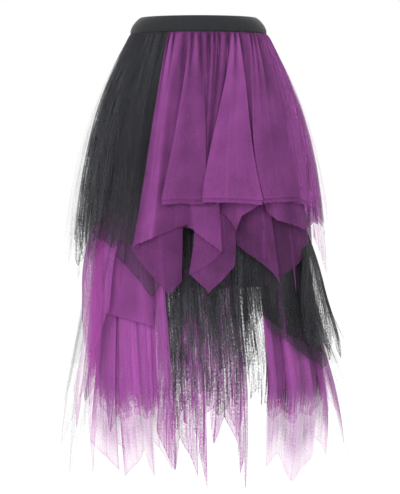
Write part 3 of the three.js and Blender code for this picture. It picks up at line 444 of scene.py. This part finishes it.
def lattice_noise(u, v, seed):
    """Smooth random height over a lattice: corner values from a seeded table, eased between by 3t^2-2t^3."""
    table = np.random.default_rng(seed).uniform(-1, 1, (64, 64))
    iu, iv = np.floor(u).astype(int), np.floor(v).astype(int)
    fu, fv = u - iu, v - iv
    fu, fv = fu * fu * (3 - 2 * fu), fv * fv * (3 - 2 * fv)
    a, b = table[iu % 64, iv % 64], table[(iu + 1) % 64, iv % 64]
    c, d = table[iu % 64, (iv + 1) % 64], table[(iu + 1) % 64, (iv + 1) % 64]
    return (a * (1 - fu) + b * fu) * (1 - fv) + (c * (1 - fu) + d * fu) * fv


def bells(z):
    """Half widths and half depths of both bells at heights z, and how far the points hang aside: waist
    size plus growth times 1 - exp(-depth), and below the flare's height growth times 1 - exp(-depth^2)."""
    down = np.maximum(0, -BAND_HALF - z)
    past = np.maximum(0, -FLARE["from"] - z) / FLARE["over"]
    flare = 1 - np.exp(-past * past)
    width_rise = 1 - np.exp(-((down / OUTER["width_fall"]) ** OUTER_BEND))
    depth_rise = 1 - np.exp(-((down / OUTER["depth_fall"]) ** OUTER_BEND))
    return (
        INNER["width"] + INNER["width_grow"] * (1 - np.exp(-down / INNER["width_fall"])),
        INNER["depth"] + INNER["depth_grow"] * (1 - np.exp(-down / INNER["depth_fall"])),
        OUTER["width"] + OUTER["width_grow"] * width_rise + FLARE["width"] * flare,
        OUTER["depth"] + OUTER["depth_grow"] * depth_rise + FLARE["depth"] * flare,
        FLARE["aside"] * flare,
    )


def fold_lines(rows, across, corner):
    """The fold table blended across a panel: straight from line to line, rounded by a quadratic curve
    within corner of each line, while the hem keeps its corners."""
    table = np.array(rows, float)
    padded = np.vstack([2 * table[0] - table[1], table, 2 * table[-1] - table[-2]])
    start = np.clip(np.floor(across).astype(int), 0, len(table) - 2)
    share = (across - start)[:, None]
    blend = table[start] * (1 - share) + table[start + 1] * share
    near = np.clip(np.rint(across).astype(int), 0, len(table) - 1)
    side = (across - near)[:, None]
    here = padded[near + 1]
    before = here + corner * (padded[near] - here)
    after = here + corner * (padded[near + 2] - here)
    s = np.clip((side + corner) / (2 * corner), 0, 1)
    curve = (1 - s) ** 2 * before + 2 * s * (1 - s) * here + s * s * after
    rounded = np.where(np.abs(side) < corner, curve, blend)
    rounded[:, DROP] = blend[:, DROP]
    return rounded


def cloth_lengths(points, across, down):
    """Lengths along the cloth in metres: across it the widest step of each column summed up, down it the
    steps of each column. Also how closely it is gathered: a column's widest step over the step at each
    point, from 1 to 3."""
    sideways = np.linalg.norm(np.diff(points[..., :2], axis=0), axis=-1)
    falls = np.linalg.norm(np.diff(points, axis=1), axis=-1)
    width = np.concatenate([[0], np.cumsum(sideways.max(1))])
    fall = np.concatenate([np.zeros((len(across), 1)), np.cumsum(falls, 1)], 1)
    close = sideways.max(1)[:, None] / np.maximum(sideways, 1e-5)
    close = np.clip(np.vstack([close, close[-1:]]), 1, 3)
    return np.stack([np.broadcast_to(width[:, None], (len(across), len(down))), fall], -1), close


def ply_grid(ply, seed, sizes):
    """Middle surface of one ply of net. Each fold line runs from its top angle through its middle angle
    to its foot angle while it falls to its hem, at its share of the room between the bells:
    (x, y) = (width sin a, -depth cos a). Under the seam the cloth puffs out between gathers as
    |sin(pi s)|^0.7, down the panel it sways in small ruffles, a sine sideways and a cosine in and out,
    and soft creases run along the folds. Returns points in metres, cloth lengths in metres, and for each
    point how closely the net lies there, how far down it is, and its painted shading: low for painted shade in
    valleys, high for painted highlights on crests."""
    share, relief, seat, top, leave = PLACES[ply["place"]]
    rows = FOLDS[ply["folds"]]
    across = np.append((np.arange(len(rows) - 1)[:, None] + COLUMN_STEPS).ravel(), len(rows) - 1)
    down = np.append(LAST_BUT_ONE * np.linspace(0, 1, sizes.rows) ** ROW_CROWDING, 1)
    fold = fold_lines(rows, across, ply["corner"])
    frayed = FRAY["depth"] * np.abs(lattice_noise(across * FRAY["times"], across * 0, seed + 3))
    length = fold[:, DROP] - ply["cut"] - frayed
    u, t = np.meshgrid(across, down, indexing="ij")
    z = top + (-length[:, None] - top) * t
    fallen = top - z
    left = 1 - np.exp(-fallen / leave)
    soon = np.minimum(1, 3 * left)
    in_width, in_depth, out_width, out_depth, aside = bells(z)

    # Each line's angle is a parabola through its three; ruffles and slack are added to it.
    grown = np.minimum(1, RUFFLE["soon"] * t)
    wave = 2 * np.pi * (RUFFLE["waves"] * u + RUFFLE["wander"] * lattice_noise(u * 0.6, t * 0.7, seed))
    angle = (
        fold[:, TOP, None] * (1 - t) * (1 - 2 * t)
        + fold[:, MIDDLE, None] * 4 * t * (1 - t)
        + fold[:, FOOT, None] * t * (2 * t - 1)
    )
    angle = angle + np.degrees(ply["ruffle"] / in_width) * np.sin(wave) * grown
    angle = angle + RUFFLE["slack"] * lattice_noise(u * 1.3, t * 2.0, seed) * grown

    # How far the cloth stands off its place. Plies cut on the same folds share their creases.
    seam = np.radians(fold[:, TOP, None]) * INNER["width"] / GATHER["pitch"]
    pitch = seam + GATHER["uneven"] * lattice_noise(seam * 0.7 + 40, t * 0, 5)
    puff = np.abs(np.sin(np.pi * pitch)) ** GATHER["round"] - GATHER["sink"]
    near_seam = np.minimum(1, fallen / GATHER["start"]) * np.exp(-((fallen / GATHER["last"]) ** GATHER["bend"]))
    creases = sum(map(ord, ply["folds"])) + 4
    off = seat * (1 - left) + ply["gather"] * puff * near_seam
    off = off + RUFFLE["out"] * ply["ruffle"] * np.cos(wave) * grown * soon
    off = off + RUFFLE["crease"] * lattice_noise(u * 2.2, t * 1.7, creases) * np.minimum(1, 2.5 * t)
    off = off + ply["stand"] * soon * np.minimum(1, (out_width - in_width) / FULL_ROOM)
    out = (share + relief * fold[:, OUT, None]) * left
    width = in_width + off + out * (out_width - in_width)
    depth = in_depth + off + out * (out_depth - in_depth)
    turn = np.radians(angle)
    points = np.stack([aside + width * np.sin(turn), -depth * np.cos(turn), z], -1) * MM
    uv, close = cloth_lengths(points, across, down)

    # Edges are folded double along each line that stands out or in, and along the hem. It shows in thin net.
    turned = np.clip(fold[:, OUT, None], -1.2, 1.2)
    edge = np.exp(-(((across - np.rint(across)) / EDGE["width"]) ** 2))[:, None]
    edge = edge * np.minimum(1, 1.5 * np.abs(turned)) * np.minimum(1, 4 * left)
    edge = np.maximum(edge, EDGE["hem"] * (t > 0.995))
    thin = np.clip(12 * (EDGE["thin"] - ply["cover"] * (1 - ply["fade"] * t**2)), 0, 1)

    # Painted light and shade: crests, turned edges and ruffle tops are painted lighter, valleys, gather hollows and
    # the cloth under the seam are painted darker, and each ply is lifted or lowered by its painted tone.
    crest = 0.5 + ply["painted_tone"] + PAINTED_LIGHT_AND_SHADE["fold"] * turned * np.minimum(1, 4 * left)
    crest = crest + PAINTED_LIGHT_AND_SHADE["edge"] * edge * (turned > 0.5) + (PAINTED_LIGHT_AND_SHADE["gather"] * puff - PAINTED_LIGHT_AND_SHADE["gather_painted_shade"]) * near_seam
    crest = crest + PAINTED_LIGHT_AND_SHADE["ruffle"] * np.cos(wave) * grown * (ply["ruffle"] > 0)
    crest = crest - PAINTED_LIGHT_AND_SHADE["seam"] * np.exp(-fallen / PAINTED_LIGHT_AND_SHADE["seam_shade_last"])
    return points, uv, close + EDGE["close"] * edge * thin, t, np.clip(crest, 0, 1)


def cover_of(ply, close, t):
    """How much light a ply stops: its own cover, more where it is gathered or folded double, less towards
    the hem, and little left over the last tenth of a ply that melts away, by 3t^2 - 2t^3."""
    last = np.clip((t - MELT["from"]) / MELT["over"], 0, 1)
    cover = ply["cover"] * (1 - ply["fade"] * t**2) * (1 - ply["melt"] * last * last * (3 - 2 * last))
    return np.clip(1 - (1 - cover) ** (0.7 + 0.3 * close), 0.01, 1)


def sheet_mesh(name, points, uv, attributes, closed=False):
    """Quads on a grid of points, faced outwards, with the cloth lengths as UV and named point values."""
    columns, rows = points.shape[:2]
    mesh = bpy.data.meshes.new(name)
    i, j = np.meshgrid(np.arange(columns if closed else columns - 1), np.arange(rows - 1), indexing="ij")
    n = (i + 1) % columns
    quads = np.stack([i * rows + j, i * rows + j + 1, n * rows + j + 1, n * rows + j], -1).reshape(-1, 4)
    middle = points.reshape(-1, 3)[quads].mean(1)
    corner = points.reshape(-1, 3)[quads]
    normal = np.cross(corner[:, 2] - corner[:, 0], corner[:, 3] - corner[:, 1])
    if (normal[:, 0] * middle[:, 0] + normal[:, 1] * middle[:, 1]).sum() < 0:
        quads = quads[:, ::-1]
    mesh.from_pydata(points.reshape(-1, 3), [], quads)
    mesh.polygons.foreach_set("use_smooth", np.ones(len(mesh.polygons), bool))
    layer = mesh.uv_layers.new(name="cloth")
    corners = np.empty(len(mesh.loops), int)
    mesh.loops.foreach_get("vertex_index", corners)
    layer.data.foreach_set("uv", uv.reshape(-1, 2)[corners].ravel())
    for key, value in attributes.items():
        attribute = mesh.attributes.new(key, "FLOAT", "POINT")
        attribute.data.foreach_set("value", np.ascontiguousarray(value, np.float32).ravel())
    mesh.update()
    return mesh


def place_piece(name, mesh, material, node):
    """Links the mesh as a piece of the skirt that stands for a solid."""
    piece = bpy.data.objects.new(name, mesh)
    bpy.context.scene.collection.objects.link(piece)
    mesh.materials.append(material)
    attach(piece, "root")
    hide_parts(node)
    return piece


# ---------------------------------------------------------------- materials

def new_node(tree, kind, values, **settings):
    """A shader node with its settings. Its inputs, by name or number, are linked to sockets or set to values."""
    node = tree.nodes.new("ShaderNode" + kind)
    for key, value in settings.items():
        setattr(node, key, value)
    for key, value in values.items():
        if isinstance(value, bpy.types.NodeSocket):
            tree.links.new(value, node.inputs[key])
        else:
            node.inputs[key].default_value = value
    return node


def calculator(tree):
    """Three functions that add, take away and multiply two sockets or numbers in a tree."""

    def math_node(operation):
        def apply(a, b, clamp=False):
            node = new_node(tree, "Math", {0: a, 1: b}, operation=operation, use_clamp=clamp)
            return node.outputs[0]

        return apply

    return math_node("ADD"), math_node("SUBTRACT"), math_node("MULTIPLY")


def noise_node(tree, vector, scale, detail, stretch=None):
    """Noise on a vector, stretched by a Mapping node."""
    if stretch:
        vector = new_node(tree, "Mapping", {"Vector": vector, "Scale": stretch}).outputs["Vector"]
    return new_node(tree, "TexNoise", {"Vector": vector, "Scale": scale, "Detail": detail}).outputs["Fac"]


def net_group():
    """Tulle: fine net cells, and marks down the folds that show most where the net is half dense, as
    4 c (1 - c) of its cover c. Valleys get a painted shade deeper in colour than the crests, which get
    painted highlights, and thin net gets a painted glow that stands for light coming through it. Takes the
    cover and the painted shading of a point and puts out colour, alpha and height."""
    if "net weave" in bpy.data.node_groups:
        return bpy.data.node_groups["net weave"]
    group = bpy.data.node_groups.new("net weave", "ShaderNodeTree")
    for label in ("Colour", "Deep", "Thin"):
        group.interface.new_socket(label, in_out="INPUT", socket_type="NodeSocketColor")
    for label in ("Cover", "Crest", "Streak", "Threads"):
        group.interface.new_socket(label, in_out="INPUT", socket_type="NodeSocketFloat")
    for label, kind in (("Colour", "Color"), ("Alpha", "Float"), ("Height", "Float")):
        group.interface.new_socket(label, in_out="OUTPUT", socket_type="NodeSocket" + kind)
    enter = group.nodes.new("NodeGroupInput").outputs
    leave = group.nodes.new("NodeGroupOutput").inputs
    plus, minus, times = calculator(group)

    cloth = new_node(group, "UVMap", {}, uv_map="cloth").outputs["UV"]
    cells = {"Vector": cloth, "Scale": NET["cells"], "Randomness": NET["uneven"]}
    cells = new_node(group, "TexVoronoi", cells, feature="DISTANCE_TO_EDGE").outputs["Distance"]
    thread = minus(1.0, times(cells, 4.0, True), True)
    mark = {}
    for name, (scale, detail, stretch, _) in MARKS.items():
        mark[name] = minus(noise_node(group, cloth, scale, detail, stretch), 0.5)
    strong = {name: times(mark[name], row[-1]) for name, row in MARKS.items()}

    cover = enter["Cover"]
    half = times(times(cover, 4.0), minus(1.0, cover))
    marks = plus(plus(strong["broad"], strong["fine"]), strong["speck"])
    marks = times(marks, times(half, enter["Streak"]))
    grain = times(minus(thread, 0.45), enter["Threads"])
    alpha = plus(cover, plus(marks, grain), True)

    # Painted light and shade: each point's painted shading, with random broad blotches, mixes the cloth from its
    # painted valley shade colour up to its own colour.
    drift = plus(times(mark["broad"], times(enter["Streak"], 0.2)), strong["blotch"])
    shade = plus(enter["Crest"], drift, True)
    painted_tone = new_node(group, "Mix", {}, data_type="RGBA")
    # Painted glow: where the net is thin its colour is tinted towards the thin colour, painted light that stands for
    # light coming through.
    painted_glow = new_node(group, "Mix", {}, data_type="RGBA")
    for node, share, low, high in (
        (painted_tone, shade, enter["Deep"], enter["Colour"]),
        (painted_glow, times(minus(NET["painted_glow"], cover), 2.0, True), painted_tone.outputs[2], enter["Thin"]),
    ):
        for socket, value in zip((0, 6, 7), (share, low, high)):
            group.links.new(value, node.inputs[socket])
    group.links.new(painted_glow.outputs[2], leave["Colour"])
    group.links.new(alpha, leave["Alpha"])
    group.links.new(plus(times(thread, 0.2), mark["fine"]), leave["Height"])
    return group


def principled(name, roughness, sheen, sheen_roughness):
    """A new matte material with its Principled shader: tree and shader too."""
    material = bpy.data.materials.new(name)
    material.use_nodes = True
    shader = material.node_tree.nodes["Principled BSDF"]
    shader.inputs["Roughness"].default_value = roughness
    shader.inputs["Specular IOR Level"].default_value = 0.15
    shader.inputs["Sheen Weight"].default_value = sheen
    shader.inputs["Sheen Roughness"].default_value = sheen_roughness
    return material, material.node_tree, shader


def raise_surface(tree, shader, height, strength, distance):
    """Bump of a height on the shader's normal."""
    values = {"Strength": strength, "Distance": distance, "Height": height}
    bump = new_node(tree, "Bump", values)
    tree.links.new(bump.outputs["Normal"], shader.inputs["Normal"])


def net_material(name, colour, deep, thin):
    """Tulle in one colour, with painted shade in its valleys and painted highlights on its crests. Its cover and its
    painted shading come from the piece's own point values.
    """
    material, tree, shader = principled(name, 0.9, 0.05, 0.5)
    weave = tree.nodes.new("ShaderNodeGroup")
    weave.node_tree = net_group()
    for label, value in (("Colour", colour), ("Deep", deep), ("Thin", thin)):
        weave.inputs[label].default_value = (*value, 1)
    weave.inputs["Threads"].default_value = NET["threads"]
    for label in ("Cover", "Crest", "Streak"):
        value = new_node(tree, "Attribute", {}, attribute_name=label.lower())
        tree.links.new(value.outputs["Fac"], weave.inputs[label])
    tree.links.new(weave.outputs["Colour"], shader.inputs["Base Color"])
    tree.links.new(weave.outputs["Alpha"], shader.inputs["Alpha"])
    raise_surface(tree, shader, weave.outputs["Height"], 0.12, 0.002)
    return material


def knit_material(name, colour, rib, strength):
    """A knit: fine ribs along the cloth, rib times to a metre, with a soft mottle."""
    material, tree, shader = principled(name, 0.75, 0.25, 0.4)
    cloth = new_node(tree, "UVMap", {}, uv_map="cloth").outputs["UV"]
    vector = new_node(tree, "Mapping", {"Vector": cloth, "Scale": rib}).outputs["Vector"]
    values = {"Vector": vector, "Scale": 1.0, "Distortion": 0.6}
    wave = new_node(tree, "TexWave", values, wave_type="BANDS", bands_direction="Y")
    mottle = noise_node(tree, cloth, 60, 3.0)
    mix = new_node(tree, "Mix", {}, data_type="RGBA")
    tree.links.new(mottle, mix.inputs[0])
    mix.inputs[6].default_value = (*[c * 0.8 for c in colour], 1)
    mix.inputs[7].default_value = (*[c * 1.25 for c in colour], 1)
    tree.links.new(mix.outputs[2], shader.inputs["Base Color"])
    plus = calculator(tree)[0]
    raise_surface(tree, shader, plus(wave.outputs["Fac"], mottle), strength, 0.0006)
    return material


# ---------------------------------------------------------------- operators

def hang_plies(context, tier, cloth):
    """Cuts and hangs every ply of one cloth in one tier, numbered within its panel."""
    sizes, colours = context.scene.skirt_sizes, context.scene.skirt_colours
    colour = tuple(getattr(colours, cloth))
    # Painted shade: the valleys' colour is the cloth's colour darkened.
    deep = tuple(c * PAINTED_VALLEY_SHADE[cloth] for c in colour)
    # The painted glow's colour: the thin purple colour for the lower tier's purple net, else the cloth's colour
    # brightened.
    thin = tuple(colours.thin) if (cloth, tier) == ("purple", "lower") else tuple(c * 1.4 for c in colour)
    material = net_material(f"{tier} {cloth} net", colour, deep, thin)
    counts = {}
    for number, values in enumerate(PLIES):
        ply = dict(zip(PLY_KEYS, values))
        node = ply["node"]
        counts[node] = counts.get(node, 0) + 1
        if not node.startswith(tier) or ply["cloth"] != cloth:
            continue
        points, uv, close, t, crest = ply_grid(ply, 10 * number, sizes)
        name = f"{node}_ply{counts[node]}"
        streak = np.full(t.shape, ply["streak"])
        mesh = sheet_mesh(name, points, uv, {"cover": cover_of(ply, close, t), "crest": crest, "streak": streak})
        piece = place_piece(name, mesh, material, node)
    return {"FINISHED"}


def weld(mesh):
    """Joins a grid's first and last column of points and faces every face outwards."""
    shell = bmesh.new()
    shell.from_mesh(mesh)
    bmesh.ops.remove_doubles(shell, verts=shell.verts, dist=1e-6)
    bmesh.ops.recalc_face_normals(shell, faces=shell.faces)
    shell.to_mesh(mesh)
    shell.free()
    mesh.update()


class SKIRT_OT_waistband(Operator):
    """Makes the elastic waistband, drawn in at its top edge and a little wavy at its seam."""

    bl_idname = "skirt.waistband"
    bl_label = "Waistband"

    def execute(self, context):
        sizes, colours = context.scene.skirt_sizes, context.scene.skirt_colours
        half, wall = sizes.band_height / MM / 2, sizes.band_wall / MM
        turn = np.linspace(0, 2 * math.pi, 360, endpoint=False)[:, None]
        # The cross-section is a rounded bar: a superellipse of the wall and the height.
        phase = np.linspace(0, 2 * math.pi, 40, endpoint=False)[None, :]
        side = np.sign(np.cos(phase)) * np.abs(np.cos(phase)) ** BAND["square"]
        rise = np.sign(np.sin(phase)) * np.abs(np.sin(phase)) ** BAND["square"]
        z = half * 0.995 * rise + 0 * turn
        lean = np.maximum(0, (z + half) / (2 * half)) ** BAND_LEAN["bend"]
        pucker = BAND["pucker"] * np.sin(turn * BAND["puckers"] + 2 * np.sin(turn * 7)) * np.clip(-z / half, 0, 1)
        bulge = BAND["bulge"] * (1 - (z / half) ** 2)
        off = BAND["gap"] + wall / 2 + side * wall / 2 + (pucker + bulge) * (side > 0)
        width = INNER["width"] - BAND_LEAN["width"] * lean + off
        depth = INNER["depth"] - BAND_LEAN["depth"] * lean + off
        points = np.stack([width * np.sin(turn), -depth * np.cos(turn), z], -1) * MM
        points = np.concatenate([points, points[:, :1]], 1)
        # Cloth lengths: the mean radius times the turn, and the way round the cross-section.
        length = np.broadcast_to(turn * 0.112, points.shape[:2])
        height = np.broadcast_to(np.linspace(0, 0.068, points.shape[1])[None, :], points.shape[:2])
        mesh = sheet_mesh("waistband_elastic", points, np.stack([length, height], -1), {}, closed=True)
        weld(mesh)
        material = knit_material("elastic knit", tuple(colours.band), (260, 900, 1), 0.25)
        piece = place_piece("waistband_elastic", mesh, material, "waistband")
        return {"FINISHED"}


class SKIRT_OT_lining(Operator):
    """Makes the knit slip: a tube that follows the hips, with a few soft folds towards its straight hem."""

    bl_idname = "skirt.lining"
    bl_label = "Lining"

    def execute(self, context):
        sizes, colours = context.scene.skirt_sizes, context.scene.skirt_colours
        hem = sizes.slip_length / MM
        turn = np.linspace(0, 2 * math.pi, 240, endpoint=False)[:, None]
        z = np.linspace(-SLIP["tuck"], -hem, 60)[None, :] + 0 * turn
        width, depth = bells(z)[:2]
        lean = np.maximum(0, (z + BAND_HALF) / (2 * BAND_HALF)) ** BAND_LEAN["bend"]
        fall = np.clip((-z - SLIP["smooth"]) / (hem - SLIP["smooth"]), 0, 1)
        fold = SLIP["fold"] * fall * lattice_noise(turn * SLIP["folds"] / math.pi, fall * 1.3, 11)
        off = -SLIP["gap"] - np.abs(fold)
        width = width + off - BAND_LEAN["width"] * lean
        depth = depth + off - BAND_LEAN["depth"] * lean
        points = np.stack([width * np.sin(turn), -depth * np.cos(turn), z], -1) * MM
        # Cloth lengths: the mean radius times the turn, and the way down.
        uv = np.stack([np.broadcast_to(turn * 0.155, z.shape), -z * MM], -1)
        mesh = sheet_mesh("lining_slip", points, uv, {}, closed=True)
        material = knit_material("slip knit", tuple(colours.slip), (900, 900, 1), 0.2)
        piece = place_piece("lining_slip", mesh, material, "lining")
        return {"FINISHED"}


class SKIRT_OT_upper_black(Operator):
    """Cuts and hangs the black panels of the upper tier."""

    bl_idname = "skirt.upper_black"
    bl_label = "Upper black panels"

    def execute(self, context):
        return hang_plies(context, "upper", "black")


class SKIRT_OT_upper_purple(Operator):
    """Cuts and hangs the purple panels of the upper tier."""

    bl_idname = "skirt.upper_purple"
    bl_label = "Upper purple panels"

    def execute(self, context):
        return hang_plies(context, "upper", "purple")


class SKIRT_OT_lower_black(Operator):
    """Cuts and hangs the black panels of the lower tier."""

    bl_idname = "skirt.lower_black"
    bl_label = "Lower black panels"

    def execute(self, context):
        return hang_plies(context, "lower", "black")


class SKIRT_OT_lower_purple(Operator):
    """Cuts and hangs the purple panels of the lower tier."""

    bl_idname = "skirt.lower_purple"
    bl_label = "Lower purple panels"

    def execute(self, context):
        return hang_plies(context, "lower", "purple")


class SKIRT_OT_stage(Operator):
    """Sets the pale floor, the soft studio light and the camera."""

    bl_idname = "skirt.stage"
    bl_label = "Stage"

    def execute(self, context):
        scene, colours = context.scene, context.scene.skirt_colours
        # A round floor, as white as the air round it, with no wall to hide the back.
        turn = np.linspace(0, 2 * math.pi, 96, endpoint=False)
        rim = np.stack([FLOOR["radius"] * np.sin(turn), -FLOOR["radius"] * np.cos(turn), turn * 0 + FLOOR["z"]], -1)
        mesh = bpy.data.meshes.new("studio_floor")
        mesh.from_pydata(rim, [], [range(len(turn))])
        floor = bpy.data.objects.new("studio_floor", mesh)
        scene.collection.objects.link(floor)
        material, _, shader = principled("floor paint", 0.9, 0, 0.5)
        shader.inputs["Base Color"].default_value = (*colours.floor, 1)
        shader.inputs["Emission Color"].default_value = (1, 1, 1, 1)
        shader.inputs["Emission Strength"].default_value = 1.0
        mesh.materials.append(material)
        scene.world = bpy.data.worlds.new("studio")
        scene.world.use_nodes = True
        air = scene.world.node_tree.nodes["Background"]
        air.inputs["Color"].default_value = (1, 1, 1, 1)
        air.inputs["Strength"].default_value = 1.0
        for label, (place, size, power) in LAMPS.items():
            lamp = bpy.data.lights.new(label, "AREA")
            lamp.size, lamp.energy = size, power
            holder = bpy.data.objects.new(label, lamp)
            holder.location = place
            aim = Vector((0, 0, LAMP_AIM)) - Vector(place)
            holder.rotation_euler = aim.to_track_quat("-Z", "Y").to_euler()
            scene.collection.objects.link(holder)
        camera = bpy.data.cameras.new("camera")
        camera.sensor_fit = "VERTICAL"
        camera.sensor_height = CAMERA["sensor"]
        camera.lens = CAMERA["sensor"] * CAMERA["away"] / CAMERA["view"]
        eye = bpy.data.objects.new("camera", camera)
        eye.location = (CAMERA["x"], -CAMERA["away"], CAMERA["z"])
        eye.rotation_euler = (math.radians(90), 0, 0)
        scene.collection.objects.link(eye)
        scene.camera = eye
        scene.view_settings.view_transform = "Standard"
        scene.cycles.transparent_max_bounces = 48
        return {"FINISHED"}


class SKIRT_PT_sidebar(Panel):
    """Lists the skirt's sizes, colours and steps."""

    bl_label = "Tulle skirt"
    bl_idname = "SKIRT_PT_sidebar"
    bl_space_type = "VIEW_3D"
    bl_region_type = "UI"
    bl_category = "Skirt"

    def draw(self, context):
        scene = context.scene
        for group in (scene.skirt_sizes, scene.skirt_colours):
            for key in group.__annotations__:
                self.layout.prop(group, key)
        for step in STEPS:
            self.layout.operator(step.bl_idname)


STEPS = (
    SKIRT_OT_waistband,
    SKIRT_OT_lining,
    SKIRT_OT_upper_black,
    SKIRT_OT_upper_purple,
    SKIRT_OT_lower_black,
    SKIRT_OT_lower_purple,
    SKIRT_OT_stage,
)
CLASSES = (SkirtSizes, SkirtColours, *STEPS, SKIRT_PT_sidebar)


def register():
    for cls in CLASSES:
        bpy.utils.register_class(cls)
    bpy.types.Scene.skirt_sizes = PointerProperty(type=SkirtSizes)
    bpy.types.Scene.skirt_colours = PointerProperty(type=SkirtColours)


def unregister():
    del bpy.types.Scene.skirt_sizes
    del bpy.types.Scene.skirt_colours
    for cls in reversed(CLASSES):
        bpy.utils.unregister_class(cls)


def main():
    """Builds the skirt in order."""
    register()
    bpy.ops.skirt.waistband()
    bpy.ops.skirt.lining()
    bpy.ops.skirt.upper_black()
    bpy.ops.skirt.upper_purple()
    bpy.ops.skirt.lower_black()
    bpy.ops.skirt.lower_purple()
    bpy.ops.skirt.stage()


if __name__ == "__main__":
    main()
